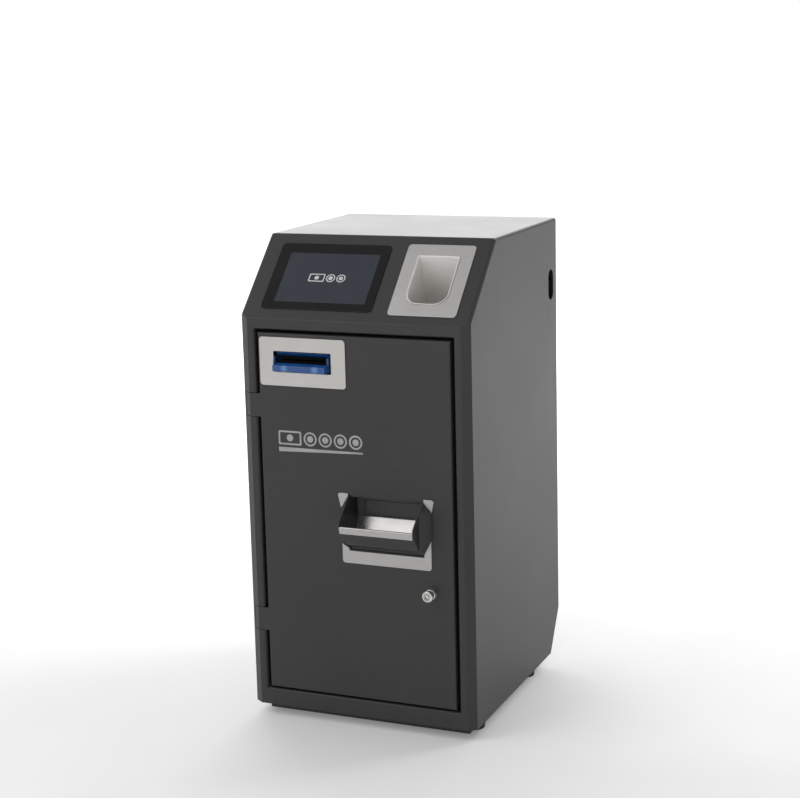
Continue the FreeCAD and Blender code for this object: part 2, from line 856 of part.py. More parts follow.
stiffeners = Piece("door_stiffeners")
for low, upper in ((395, 425), (75, 105)):
    stiffeners.pad("Z", [rectangle(-150, 150, inner_face, deep(18))], high(low), high(upper))
    stiffeners.cut("Z", [rectangle(-151, 151, inner_face - 1, deep(16.5))],
                   high(low + 1.5), high(upper - 1.5))
keep(stiffeners)

knuckles = Piece("hinge_knuckles")
hinge_y = deep(hinge_depth)
for ear in (ear_upper, ear_lower):
    knuckles.pad("Z", [Circle(hinge_x, hinge_y, knuckle_radius)], *ear_span(ear))
    knuckles.pad("Z", [rectangle(hinge_x, -door_half, inner_face, deep(8))], *ear_span(ear))
for ear in (ear_upper, ear_lower):
    knuckles.cut("Z", [Circle(hinge_x, hinge_y, hinge_pin_radius + running_gap)], *ear_span(ear))
keep(knuckles)

bracket_sheet = as_size(4)
brackets = Piece("hinge_brackets")
pins = Piece("hinge_pins")
bracket_outline = [(-opening_return, inner_face + 0.1), (-173, inner_face + 0.1),
                   (-183, deep(9.4)), (-183, deep(16)), (-opening_return, deep(16))]
for ear in (ear_upper, ear_lower):
    low, upper = ear_span(ear)
    for level in (low - ear_gap - bracket_sheet, upper + ear_gap):
        brackets.pad("Z", [bracket_outline, Circle(hinge_x, hinge_y, hinge_pin_radius)],
                     level, level + bracket_sheet)
    pins.pad("Z", [Circle(hinge_x, hinge_y, hinge_pin_radius)],
             low - ear_gap - bracket_sheet, upper + ear_gap + bracket_sheet)
keep(brackets)
keep(pins)

buffers = Piece("door_buffers")
spots = [Circle(side * 156.5, high(height), 4) for side in (-1, 1) for height in (70, 560)]
buffers.pad("Y", spots, deep(door_depth + 0.5), deep(rebate_depth))
keep(buffers)

note_plate = Piece("note_plate")
note_plate.pad("Y", [block_outline(note_x, note_plate_width,
                                   high(note_height - note_plate_height / 2),
                                   high(note_height + note_plate_height / 2))],
               front - plate_sheet, front)
note_plate.fillet(5, lambda edge: straight_along(edge, "Y"))
note_plate.cut("Y", [block_outline(note_x, note_window_width,
                                   high(note_height - note_window_height / 2),
                                   high(note_height + note_window_height / 2))],
               front - plate_sheet - 1, front + 1)
keep(note_plate)


def coin_plate():
    """Stainless plate around the cup, open at the top and flared into two ears."""
    half = coin_plate_width / 2
    wide = half + coin_plate_flare
    slit = cup_width / 2 + 2
    floor = high(267)
    low, upper = high(coin_plate_bottom), high(coin_plate_top)
    neck = high(300)
    outline = [(cup_x - half, low), (cup_x + half, low), (cup_x + half, neck),
               (cup_x + wide, upper - 6), (cup_x + wide, upper), (cup_x + slit, upper),
               (cup_x + slit, floor), (cup_x - slit, floor), (cup_x - slit, upper),
               (cup_x - wide, upper), (cup_x - wide, upper - 6), (cup_x - half, neck)]
    plate = Piece("coin_plate")
    plate.pad("Y", [outline], front - plate_sheet, front)

    def outside_corner(edge):
        lower_one = near(edge, z=low)
        upper_one = near(edge, z=upper) and abs(
            edge.Vertexes[0].Point.x - cup_x.number) > slit.number + 1
        return straight_along(edge, "Y") and (lower_one or upper_one)

    plate.fillet(4, outside_corner)
    keep(plate)


coin_plate()


def coin_cup():
    """Pay-out cup: two cheeks, a scooped floor ending in a lip, and a window at the back."""
    left = cup_x - cup_width / 2
    right = cup_x + cup_width / 2
    top_level = high(cup_top)
    cheek = [(deep(30), top_level), (front, top_level), (front - cup_reach, top_level - 33),
             (front - cup_reach + 2.5, top_level - 43), (front - 27.6, top_level - 67.5),
             (front, top_level - 84), (deep(30), top_level - 78)]
    cup = Piece("coin_cup")
    cup.pad("X", [cheek], left, right)
    beyond = front - cup_reach - 5
    lip_front = front - cup_reach + 3
    clearing = [(beyond, top_level + 5), (beyond, top_level - 86), (front - 27.6, top_level - 86),
                (front - 27.6, top_level - 67.5), (lip_front, top_level - 49),
                (lip_front, top_level - 38), (lip_front + 3, top_level - 38),
                (lip_front + 3.6, top_level - 47), (front - 25.6, top_level - 65.5),
                (front + 0.5, top_level - 81.6), (deep(28.5), top_level - 75.5),
                (deep(28.5), top_level - 1.5), (front + 0.5, top_level - 1.5),
                (front + 0.5, top_level + 5)]
    cup.cut("X", [clearing], left + cup_wall, right - cup_wall)

    def floor_edge(edge):
        return straight_along(edge, "X") and near(edge, y=front + 0.5, z=top_level - 81.6)

    def ramp_edge(edge):
        return straight_along(edge, "X") and near(edge, y=front - 25.6, z=top_level - 65.5)

    cup.fillet(25, floor_edge)
    cup.fillet(12, ramp_edge)
    window = block_outline(cup_x, 96, top_level - 58, top_level - 12)
    cup.cut("Y", [window], deep(27), deep(32))
    flange = block_outline(cup_x, cup_width + 18, top_level - 93, top_level + 8)
    hole = block_outline(cup_x, cup_width - 1, top_level - 81, top_level - 0.5)
    cup.pad("Y", [flange, hole], inner_face, inner_face + 1.5)
    keep(cup)


coin_cup()


def lock():
    """Tubular cam lock: barrel and nut on the door, plug, cam and screw that turn together."""
    height = high(lock_height)
    face = front - lock_reach
    barrel_end = deep(27)
    barrel = Piece("lock_barrel")
    barrel.pad("Y", [Circle(lock_x, height, lock_radius)], face, barrel_end)
    barrel.pad("Y", [Circle(lock_x, height, lock_radius + 2)], front - 3, front)
    barrel.cut("Y", [Circle(lock_x, height, lock_plug_radius + running_gap)],
               face - 1, barrel_end + 1)
    keep(barrel)

    nut = Piece("lock_nut")
    flat_radius = as_size(13.5)
    corners = [(lock_x + flat_radius * math.cos(math.radians(60 * turn)),
                height + flat_radius * math.sin(math.radians(60 * turn))) for turn in range(6)]
    nut.pad("Y", [corners, Circle(lock_x, height, lock_radius)], inner_face, deep(7))
    keep(nut)

    plug_end = deep(28)
    plug = Piece("lock_plug")
    plug.pad("Y", [Circle(lock_x, height, lock_plug_radius)], face + 0.5, plug_end)
    plug.cut("Y", [Circle(lock_x, height, 3.9), Circle(lock_x, height, 2.2)], face, face + 4)
    plug.cut("Y", [block_outline(lock_x, 1.6, height + 3.5, height + 7)], face, face + 4)
    plug.cut("Y", [Circle(lock_x, height, 2)], plug_end - 10, plug_end + 1)
    keep(plug)

    cam = Piece("lock_cam")
    cam.pad("Y", [block_outline(lock_x, 14, height - cam_length, height + 8)],
            plug_end, plug_end + 3)
    cam.fillet(5, lambda edge: straight_along(edge, "Y"))
    cam.cut("Y", [Circle(lock_x, height, 2)], plug_end - 1, plug_end + 4)
    keep(cam)

    screw = Piece("cam_screw")
    screw.pad("Y", [Circle(lock_x, height, 2)], plug_end - 9, plug_end + 3)
    screw.pad("Y", [Circle(lock_x, height, 4.2)], plug_end + 3, plug_end + 5.5)
    keep(screw)


lock()


# ---------------------------------------------------------------- note side of the inside

def note_unit():
    """Note mouth, validator with its two feed rollers, recycler drum unit and note box."""
    mouth_low = high(note_height - note_window_height / 2 + 1.5)
    mouth_high = high(note_height + note_window_height / 2 - 0.8)
    slot_low = high(note_height - 1.5)
    slot_high = high(note_height + 5)
    right = note_x + note_window_width / 2 - 3.5
    bezel = Piece("note_mouth")
    bezel.pad("Y", [rectangle(note_x - note_window_width / 2 + 4, right, mouth_low, mouth_high)],
              front, deep(30))
    bezel.pad("Y", [rectangle(note_x - note_window_width / 2 + 0.7, right, mouth_low,
                              slot_low - 0.5)], front - 8, deep(3))
    bezel.cut("Y", [rectangle(note_x - 42, note_x + 42, slot_low, slot_high)],
              front - 9, deep(31))
    bezel.fillet(2, lambda edge: straight_along(edge, "X") and near(edge, y=front - 8))
    keep(bezel)

    head_left, head_right = note_x - 60, note_x + 60
    roller_y = deep(48)
    roller_radius = as_size(7)
    passage = high(note_height + 1.75)
    head = Piece("note_validator")
    head.pad("Y", [rectangle(head_left, head_right, high(516), high(596))], deep(30), deep(215))
    head.cut("Y", [block_outline(note_x, 86, high(note_height - 2), high(note_height + 5.5))],
             deep(29), deep(120))
    well = rectangle(deep(39), deep(57), passage - 16, passage + 16)
    head.cut("X", [well], note_x - 44, note_x + 44)
    shaft_heights = (passage + roller_radius + 0.2, passage - roller_radius - 0.2)
    for shaft_height in shaft_heights:
        head.cut("X", [Circle(roller_y, shaft_height, 2 + running_gap)],
                 note_x - 52, note_x + 52)
    keep(head)
    for label, shaft_height in zip(("note_pinch_roller", "note_feed_roller"), shaft_heights):
        roller = Piece(label)
        roller.pad("X", [Circle(roller_y, shaft_height, 2)], note_x - 51, note_x + 51)
        for side in (-1, 1):
            middle = note_x + side * 22
            roller.pad("X", [Circle(roller_y, shaft_height, roller_radius)],
                       middle - 12, middle + 12)
        keep(roller)

    recycler = Piece("note_recycler")
    recycler.pad("Z", [rectangle(head_left - 6, head_right + 2, deep(45), deep(330))],
                 high(254), high(516))
    recycler.fillet(4, lambda edge: straight_along(edge, "Z"))
    recycler.cut("Y", [block_outline(note_x, 90, high(290), high(480))], deep(44), deep(48))
    keep(recycler)

    store = Piece("note_cash_box")
    store.pad("Z", [rectangle(head_left - 4, head_right, deep(50), deep(320))],
              high(90), high(248))
    store.fillet(5, lambda edge: straight_along(edge, "Z"))
    store.pad("Y", [block_outline(note_x, 70, high(200), high(206))], deep(40), deep(43))
    for side in (-1, 1):
        leg = note_x + side * 32
        store.pad("Y", [block_outline(leg, 6, high(200), high(206))], deep(43), deep(50))
    keep(store)


note_unit()


# ---------------------------------------------------------------- coin side of the inside

def coin_unit():
    """Coin recycler with its turning feed disc, pay-out chute and coin box."""
    bowl_y = deep(112)
    left, right = 20, 180
    recycler = Piece("coin_recycler")
    recycler.pad("Z", [rectangle(left, right, deep(42), deep(330))], high(333), high(575))
    recycler.fillet(4, lambda edge: straight_along(edge, "Z"))
    recycler.cut("Z", [Circle(funnel_x, bowl_y, 64)], high(505), high(576))
    recycler.cut("Z", [Circle(funnel_x, bowl_y, 5 + running_gap)], high(470), high(506))
    recycler.cut("Y", [rectangle(30, 165, high(350), high(480))], deep(41), deep(45))
    keep(recycler)

    disc = Piece("coin_feed_disc")
    disc.pad("Z", [Circle(funnel_x, bowl_y, 61)], high(506), high(513))
    disc.pad("Z", [Circle(funnel_x, bowl_y, 5)], high(472), high(506))
    disc.pad("Z", [Circle(funnel_x, bowl_y, 12)], high(513), high(519))
    pockets = []
    for turn in range(6):
        angle = math.radians(60 * turn)
        pockets.append(Circle(funnel_x + 41 * math.cos(angle), bowl_y + 41 * math.sin(angle), 14))
    disc.cut("Z", pockets, high(505), high(514))
    keep(disc)

    chute = Piece("coin_payout_chute")
    chute_left, chute_right = cup_x - 44, cup_x + 44
    chute.pad("X", [[(deep(33), high(287)), (deep(120), high(312)), (deep(120), high(333)),
                     (deep(33), high(333))]], chute_left, chute_right)
    chute.cut("X", [[(deep(32), high(288.5)), (deep(121), high(313.5)), (deep(121), high(334)),
                     (deep(32), high(334))]], chute_left + 1.5, chute_right - 1.5)
    keep(chute)

    store = Piece("coin_cash_box")
    store.pad("Z", [rectangle(24, 170, deep(60), deep(320))], high(90), high(260))
    store.fillet(5, lambda edge: straight_along(edge, "Z"))
    store.cut("Z", [rectangle(27, 167, deep(63), deep(317))], high(93), high(261))
    for side in (-1, 1):
        leg = 97 + side * 32
        store.pad("Y", [rectangle(leg - 3, leg + 3, high(210), high(216))], deep(52), deep(60))
    store.pad("Y", [rectangle(62, 132, high(210), high(216))], deep(49), deep(52))
    keep(store)


coin_unit()


# ---------------------------------------------------------------- shelves and electronics

def shelf(label, left, right, near_side, far_side, height):
    board = Piece(label)
    board.pad("Z", [rectangle(left, right, deep(near_side), deep(far_side))],
              high(height), high(height) + sheet_metal)
    keep(board)


inside_edge = wall_inside
shelf("lower_shelf", -inside_edge, inside_edge, 32, 360, 88)
shelf("coin_shelf", -12, inside_edge, 125, 395, 331)
shelf("note_shelf", -inside_edge, -14, 32, 395, 252)
shelf("electronics_shelf", -inside_edge, inside_edge, 225, 395, 602)

divider = Piece("divider_wall")
divider.pad("X", [rectangle(deep(45), deep(395), high(90), high(602))], -14, -12)
keep(divider)

controller = Piece("controller_box")
controller.pad("Z", [rectangle(-160, -20, deep(240), deep(380))], high(604), high(648))
controller.fillet(3, lambda edge: straight_along(edge, "Z"))
keep(controller)

supply = Piece("power_supply")
supply.pad("Z", [rectangle(20, 165, deep(250), deep(375))], high(604), high(655))
supply.cut("X", [rectangle(deep(262), deep(265), high(615), high(645))], 160, 166)
supply.repeat("Y_Axis", 84, 10)
keep(supply)


# ---------------------------------------------------------------- checks and export

doc.recompute()
for item in doc.Objects:
    if "Invalid" in item.State or "Error" in item.State:
        raise ValueError(f"{item.Label} did not build: {item.State}")
for item in kept:
    if item.Shape.isNull() or not item.Shape.isValid() or not item.Shape.Solids:
        raise ValueError(f"{item.Label} has no valid solid")

os.makedirs("parts", exist_ok=True)
for item in kept:
    item.Shape.exportStep(f"parts/{item.Label}.step")
print(len(kept), "sub-parts written")
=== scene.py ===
"""Looks of a free-standing cash handling cabinet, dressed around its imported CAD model.

Lengths are metres, +Z is up and the door faces -Y. Every place comes from the CAD frame.
"""

import json
import math

import bmesh
import bpy
from mathutils import Matrix, Vector


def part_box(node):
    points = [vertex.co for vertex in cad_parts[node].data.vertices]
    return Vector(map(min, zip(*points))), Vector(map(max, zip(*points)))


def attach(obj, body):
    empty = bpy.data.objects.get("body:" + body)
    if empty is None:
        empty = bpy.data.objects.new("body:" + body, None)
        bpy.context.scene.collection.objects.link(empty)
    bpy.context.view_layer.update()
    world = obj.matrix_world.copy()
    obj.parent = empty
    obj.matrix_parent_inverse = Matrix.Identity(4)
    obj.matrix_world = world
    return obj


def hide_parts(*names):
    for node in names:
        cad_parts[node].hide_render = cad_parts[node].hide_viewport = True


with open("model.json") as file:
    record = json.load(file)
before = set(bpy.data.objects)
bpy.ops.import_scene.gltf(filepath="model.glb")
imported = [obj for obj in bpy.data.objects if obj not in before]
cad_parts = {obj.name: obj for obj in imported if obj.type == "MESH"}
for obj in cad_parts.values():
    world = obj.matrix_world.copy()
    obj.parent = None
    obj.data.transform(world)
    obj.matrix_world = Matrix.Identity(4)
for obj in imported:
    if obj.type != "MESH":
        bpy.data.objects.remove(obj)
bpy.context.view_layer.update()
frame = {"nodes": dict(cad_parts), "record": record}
nodes = frame["nodes"]
scene = bpy.context.scene

MM = 0.001
SMOOTH_ANGLE = math.radians(35)
BEVEL_ANGLE = math.radians(40)
JOIN_GAP = 0.01 * MM


# ---------------------------------------------------------------- shader helper

class Shader:
    """One node material. Textures use object coordinates, which are metres on every piece."""

    def __init__(self, name):
        self.material = bpy.data.materials.new(name)
        self.material.use_nodes = True
        self.tree = self.material.node_tree
        self.surface = self.tree.nodes["Principled BSDF"]
        self.where = self.node("TexCoord").outputs["Object"]

    def feed(self, socket, value):
        if isinstance(value, bpy.types.NodeSocket):
            self.tree.links.new(value, socket)
        else:
            socket.default_value = value

    def node(self, kind, inputs=None, **settings):
        made = self.tree.nodes.new("ShaderNode" + kind)
        for name, value in settings.items():
            setattr(made, name, value)
        for name, value in (inputs or {}).items():
            self.feed(made.inputs[name], value)
        return made

    def set(self, **values):
        """Sets the surface's own inputs: base_color=..., roughness=... and so on."""
        for name, value in values.items():
            words = name.replace("_", " ").title().replace("Ior", "IOR")
            self.feed(self.surface.inputs[words], value)

    def stretched(self, stretch):
        return self.node("Mapping", {"Vector": self.where, "Scale": stretch}).outputs["Vector"]

    def noise(self, scale, detail=2.0, stretch=None, rough=0.5):
        where = self.stretched(stretch) if stretch else self.where
        made = self.node("TexNoise", {"Vector": where, "Scale": scale, "Detail": detail,
                                      "Roughness": rough})
        return made.outputs["Fac"]

    def span(self, value, low, high, from_low=0.3, from_high=0.7):
        made = self.node("MapRange", {"Value": value, "From Min": from_low,
                                      "From Max": from_high, "To Min": low, "To Max": high})
        return made.outputs["Result"]

    def math(self, operation, first, second=0.5):
        made = self.node("Math", operation=operation)
        self.feed(made.inputs[0], first)
        self.feed(made.inputs[1], second)
        return made.outputs["Value"]

    def mix(self, factor, first, second):
        made = self.node("Mix", {"Factor": factor}, data_type="RGBA")
        self.feed(made.inputs[6], first)
        self.feed(made.inputs[7], second)
        return made.outputs[2]

    def worn_and_highlit_edges(self, reach):
        """Mask that rises along edges, where the rounded normal leaves the face's own."""
        rounded = self.node("Bevel", {"Radius": reach}, samples=4).outputs["Normal"]
        own = self.node("NewGeometry").outputs["Normal"]
        match = self.node("VectorMath", operation="DOT_PRODUCT")
        self.feed(match.inputs[0], rounded)
        self.feed(match.inputs[1], own)
        return self.span(match.outputs["Value"], 1.0, 0.0, 0.82, 0.985)

    def bump(self, height, distance, strength=1.0, under=None):
        made = self.node("Bump", {"Height": height, "Distance": distance,
                                  "Strength": strength})
        if under is not None:
            self.feed(made.inputs["Normal"], under)
        return made.outputs["Normal"]


def fixed(material, **values):
    """Sets constants on a finished material's own surface sockets."""
    surface = material.node_tree.nodes["Principled BSDF"]
    for name, value in values.items():
        words = name.replace("_", " ").title().replace("Ior", "IOR")
        surface.inputs[words].default_value = value
    return material


def grey(value, warmth=0.0):
    return (value * (1 + warmth), value, value * (1 - warmth), 1.0)


# ---------------------------------------------------------------- materials

def powder_coat(name, base, rubbed, edge_reach=0.0):
    """Fine textured powder coat: orange-peel bump, cloudy tone, rubbed patches, and edges
    lightened as wear and painted highlight.
    """
    paint = Shader(name)
    cloud = paint.noise(5.0, 3.0)
    speckle = paint.noise(900.0, 2.0)
    rubs = paint.noise(14.0, 5.0, (1.0, 1.0, 0.35), 0.65)
    tone = paint.mix(paint.span(cloud, 0.0, 1.0), grey(base * 0.93), grey(base * 1.07))
    tone = paint.mix(paint.span(speckle, 0.0, 0.2), tone, grey(base * 2.1))
    tone = paint.mix(paint.span(rubs, 0.0, rubbed, 0.6, 0.75), tone, grey(base * 2.2, 0.02))
    # Edges lightened where the rubbed patches reach them: partly worn paint, partly a painted
    # highlight along the rounded edges.
    if edge_reach:
        edges = paint.math("MULTIPLY", paint.worn_and_highlit_edges(edge_reach), paint.span(rubs, 0.3, 0.7))
        tone = paint.mix(edges, tone, grey(base * 3.0, 0.02))
    roughness = paint.math("ADD", paint.span(rubs, -0.01, 0.012), paint.span(cloud, 0.4, 0.43))
    peel = paint.bump(paint.noise(420.0, 2.0), 0.00006, 0.5)
    grain = paint.bump(paint.noise(1500.0, 2.0), 0.00004, 0.55, peel)
    paint.set(base_color=tone, roughness=roughness, normal=grain)
    return fixed(paint.material, specular_ior_level=0.36)


def steel_sheet(name, base, roughness, along, grain=0.5, warmth=0.02):
    """Bare metal sheet with a brushed grain along one axis, finger marks and cloudy patches."""
    metal = Shader(name)
    fine = {"X": (1.0, 60.0, 60.0), "Z": (60.0, 60.0, 1.0)}[along]
    lines = metal.noise(28.0, 4.0, fine, 0.7)
    cloud = metal.noise(9.0, 3.0)
    smear = metal.noise(34.0, 4.0, None, 0.6)
    tone = metal.mix(metal.span(lines, 0.0, 1.0), grey(base * 0.9, warmth),
                     grey(base * 1.08, warmth))
    tone = metal.mix(metal.span(cloud, 0.0, 0.35), tone, grey(base * 0.8, warmth))
    shine = metal.math("ADD", metal.span(lines, -0.05, 0.05),
                       metal.span(smear, roughness - 0.03, roughness + 0.04))
    metal.set(base_color=tone, roughness=shine, normal=metal.bump(lines, 0.00002, grain))
    return fixed(metal.material, metallic=1.0)


def zinc_plate(name):
    """Zinc plated steel: soft crystal patches and a slightly yellow cast."""
    metal = Shader(name)
    cells = metal.node("TexVoronoi", {"Vector": metal.where, "Scale": 90.0})
    crystal = metal.node("SeparateColor", {"Color": cells.outputs["Color"]}).outputs["Red"]
    stain = metal.noise(12.0, 4.0)
    tone = metal.mix(crystal, grey(0.40, 0.03), grey(0.56, 0.01))
    tone = metal.mix(metal.span(stain, 0.0, 0.5), tone, grey(0.34, 0.05))
    shine = metal.math("ADD", metal.math("MULTIPLY", crystal, 0.1), metal.span(stain, 0.28, 0.4))
    metal.set(base_color=tone, roughness=shine,
              normal=metal.bump(metal.noise(260.0, 3.0), 0.00003, 0.4))
    return fixed(metal.material, metallic=1.0)


def nickel(name):
    metal = Shader(name)
    scuffs = metal.noise(700.0, 3.0)
    tarnish = metal.noise(60.0, 3.0)
    tone = metal.mix(metal.span(tarnish, 0.0, 0.6), grey(0.78, 0.015), grey(0.6, 0.04))
    shine = metal.math("ADD", metal.span(scuffs, -0.03, 0.05), metal.span(tarnish, 0.3, 0.38))
    metal.set(base_color=tone, roughness=shine, normal=metal.bump(scuffs, 0.00001, 0.35))
    return fixed(metal.material, metallic=1.0)


def moulded(name, base, roughness, grain_scale=1100.0, tint=(1.0, 1.0, 1.0)):
    """Moulded plastic or rubber with a fine spark-eroded grain and handling marks."""
    plastic = Shader(name)
    cloud = plastic.noise(18.0, 3.0)
    grain = plastic.noise(grain_scale, 2.0)
    dark = tuple(base * 0.8 * part for part in tint) + (1.0,)
    light = tuple(base * 1.25 * part for part in tint) + (1.0,)
    tone = plastic.mix(plastic.span(cloud, 0.0, 1.0), dark, light)
    shine = plastic.math("ADD", plastic.span(grain, -0.04, 0.04),
                         plastic.span(cloud, roughness - 0.05, roughness + 0.05))
    plastic.set(base_color=tone, roughness=shine, normal=plastic.bump(grain, 0.00004, 0.5))
    return plastic.material


def glossy_cover(name, base, tint=(1.0, 1.0, 1.0)):
    """Cover glass: near black, very smooth, with the faint smears that fingers leave."""
    glass = Shader(name)
    smear = glass.noise(22.0, 5.0, (1.0, 1.0, 0.5), 0.65)
    dust = glass.noise(1800.0, 1.0)
    low = tuple(base * part for part in tint) + (1.0,)
    high = tuple(base * 1.12 * part + 0.001 for part in tint) + (1.0,)
    glass.set(base_color=glass.mix(glass.span(smear, 0.0, 1.0), low, high),
              roughness=glass.math("ADD", glass.span(smear, 0.05, 0.16),
                                   glass.span(dust, 0.0, 0.04)),
              normal=glass.bump(dust, 0.000004, 0.2))
    return fixed(glass.material, specular_ior_level=0.3)


def blue_mouth(name, glint_places, brightness, painted_glow_strength):
    """Translucent blue plastic with painted light: it glows faintly all over, with painted
    highlights around the given points.
    """
    plastic = Shader(name)
    cloud = plastic.noise(60.0, 3.0)
    dark = tuple(brightness * part for part in (0.006, 0.030, 0.115)) + (1.0,)
    light = tuple(brightness * part for part in (0.012, 0.056, 0.190)) + (1.0,)
    tone = plastic.mix(plastic.span(cloud, 0.0, 1.0), dark, light)
    # Painted highlights: a glint that fades out around each given point.
    lit = 0.0
    for point, reach in glint_places:
        gap = plastic.node("VectorMath", operation="DISTANCE")
        plastic.feed(gap.inputs[0], plastic.where)
        plastic.feed(gap.inputs[1], tuple(point))
        spot = plastic.node("MapRange", {"Value": gap.outputs["Value"], "From Min": 0.0,
                                         "From Max": reach, "To Min": 1.0, "To Max": 0.0},
                            interpolation_type="SMOOTHERSTEP").outputs["Result"]
        lit = plastic.math("ADD", spot, lit)
    # Painted glow: emission is dark blue all over and light blue in the painted highlights.
    glow = plastic.mix(lit, (0.008, 0.055, 0.19, 1.0), (0.17, 0.36, 0.70, 1.0))
    plastic.set(base_color=tone, roughness=plastic.span(cloud, 0.14, 0.26),
                emission_color=glow, normal=plastic.bump(cloud, 0.00003, 0.3))
    return fixed(plastic.material, emission_strength=painted_glow_strength, coat_weight=0.15)


PAINT = powder_coat("Powder_coat_cabinet", 0.036, 0.12)
# Door paint: its edge lightening is partly wear and partly painted highlight.
DOOR_PAINT = powder_coat("Powder_coat_door", 0.036, 0.14, 3.0 * MM)
# Painted light: the cup's inside gets paint much lighter than the door's, standing in for light
# reaching into the shaded cup.
CUP_INSIDE_LIGHTENED = powder_coat("Powder_coat_cup_inside", 0.13, 0.1)
STAINLESS = steel_sheet("Stainless_brushed", 0.58, 0.36, "X", 0.4)
NOTE_STEEL = steel_sheet("Stainless_note_plate", 0.57, 0.38, "X", 0.3, 0.03)
CUP_STEEL = steel_sheet("Stainless_cup_plate", 0.46, 0.38, "X", 0.3, 0.02)
TRAY_STEEL = steel_sheet("Stainless_cup_tray", 0.46, 0.3, "X", 0.3)
BLASTED = steel_sheet("Stainless_blasted", 0.86, 0.5, "X", 0.2, 0.03)
fixed(BLASTED, metallic=0.2)
GREEN_TOUCH = moulded("Green_touch_point", 0.10, 0.42, 900.0, (0.22, 1.0, 0.36))
SHADED_PLASTIC = moulded("Module_plastic_dark", 0.012, 0.36, 1000.0)
ALUMINIUM = steel_sheet("Aluminium_sheet", 0.46, 0.42, "X", 0.4, 0.0)
ZINC = zinc_plate("Zinc_plate")
NICKEL = nickel("Nickel_polished")
GLASS = glossy_cover("Cover_glass_black", 0.0035)
WINDOW = glossy_cover("Display_window", 0.047, (0.84, 0.93, 1.3))
BLACK_PLASTIC = moulded("Black_plastic", 0.014, 0.42)
MODULE_PLASTIC = moulded("Module_plastic", 0.052, 0.5, 900.0, (0.96, 1.0, 1.06))
RUBBER = moulded("Black_rubber", 0.012, 0.72, 700.0)
# Painted shade: a near-black, nearly unreflective surface for slots, sockets and keyways,
# standing in for the shade inside them.
SHADE_BLACK = moulded("Painted_shade_black", 0.002, 0.85)
fixed(SHADE_BLACK, specular_ior_level=0.08)
PRINT = moulded("Pale_print", 0.36, 0.5, 1400.0)
LIT_PRINT = moulded("Lit_print", 0.4, 0.3, 1400.0)
fixed(LIT_PRINT, emission_color=grey(0.8), emission_strength=0.25)
FINISHES = {
    "cabinet_paint": PAINT, "door_paint": DOOR_PAINT, "stainless": STAINLESS,
    "zinc_steel": ZINC, "bright_nickel": NICKEL, "aluminium_case": ALUMINIUM,
    "screen_glass": GLASS, "black_plastic": BLACK_PLASTIC,
    "module_plastic": MODULE_PLASTIC, "black_rubber": RUBBER,
}


# ---------------------------------------------------------------- geometry helpers

def rounded_path(corners, radii, steps=8):
    """Closed outline through 2D corners, each turned into an arc of its radius."""
    path = []
    for index, corner in enumerate(corners):
        radius = radii[index] if isinstance(radii, (list, tuple)) else radii
        here = Vector(corner)
        back_way = (Vector(corners[index - 1]) - here).normalized()
        on_way = (Vector(corners[(index + 1) % len(corners)]) - here).normalized()
        if radius <= 0:
            path.append(here)
            continue
        half = back_way.angle(on_way) / 2
        centre = here + (back_way + on_way).normalized() * (radius / math.sin(half))
        first = here + back_way * (radius / math.tan(half)) - centre
        last = here + on_way * (radius / math.tan(half)) - centre
        for step in range(steps + 1):
            path.append(centre + first.slerp(last, step / steps).normalized() * first.length)
    return path


def block_path(left, right, low, high, radii=0.0, steps=8):
    """Rounded rectangle; radii run from the lower left corner anticlockwise."""
    return rounded_path([(left, low), (right, low), (right, high), (left, high)], radii, steps)


def basis(across, up, outwards):
    """Turns local (across, up, out) coordinates into the CAD frame."""
    turned = Matrix((across, up, outwards)).transposed()
    return turned.to_4x4()


def local_span(node, turned):
    """Lowest and highest corner of a CAD node, measured in a local basis."""
    inverse = turned.inverted()
    points = [inverse @ vertex.co for vertex in nodes[node].data.vertices]
    low = Vector([min(point[axis] for point in points) for axis in range(3)])
    high = Vector([max(point[axis] for point in points) for axis in range(3)])
    return low, high


def finish_piece(piece, body, material, stands_for=()):
    """Gives a new piece its body, material and shading, and hides the CAD nodes it stands for."""
    piece.data.materials.clear()
    piece.data.materials.append(material)
    piece.data.shade_smooth()
    piece.data.set_sharp_from_angle(angle=SMOOTH_ANGLE)
    shading = piece.modifiers.new("even_shading", "WEIGHTED_NORMAL")
    shading.keep_sharp = True
    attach(piece, body)
    if stands_for:
        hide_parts(*stands_for)
    return piece


def add_mesh(name, mesh):
    piece = bpy.data.objects.new(name, mesh)
    scene.collection.objects.link(piece)
    return piece


def plate(name, outline, holes, low, high, edge, turned):
    """Flat plate between two local levels, with a rounded rim of the given radius."""
    drawing = bpy.data.curves.new(name + "_outline", "CURVE")
    drawing.dimensions = "2D"
    drawing.fill_mode = "BOTH"
    for path in [outline, *holes]:
        spline = drawing.splines.new("POLY")
        spline.points.add(len(path) - 1)
        spline.use_cyclic_u = True
        for point, place in zip(spline.points, path):
            point.co = (place[0], place[1], 0.0, 1.0)
    drawing.extrude = (high - low) / 2 - edge
    drawing.bevel_depth = edge
    drawing.bevel_resolution = 2
    drawing.offset = -edge
    shaper = bpy.data.objects.new(name + "_shaper", drawing)
    scene.collection.objects.link(shaper)
    bpy.context.view_layer.update()
    mesh = bpy.data.meshes.new_from_object(shaper.evaluated_get(
        bpy.context.evaluated_depsgraph_get()))
    bpy.data.objects.remove(shaper)
    mesh.name = name
    mesh.transform(turned @ Matrix.Translation((0, 0, (high + low) / 2)))
    weld(mesh)
    return add_mesh(name, mesh)


def weld(mesh, gap=1e-6):
    shape = bmesh.new()
    shape.from_mesh(mesh)
    bmesh.ops.remove_doubles(shape, verts=shape.verts, dist=gap)
    bmesh.ops.recalc_face_normals(shape, faces=shape.faces)
    shape.to_mesh(mesh)
    shape.free()


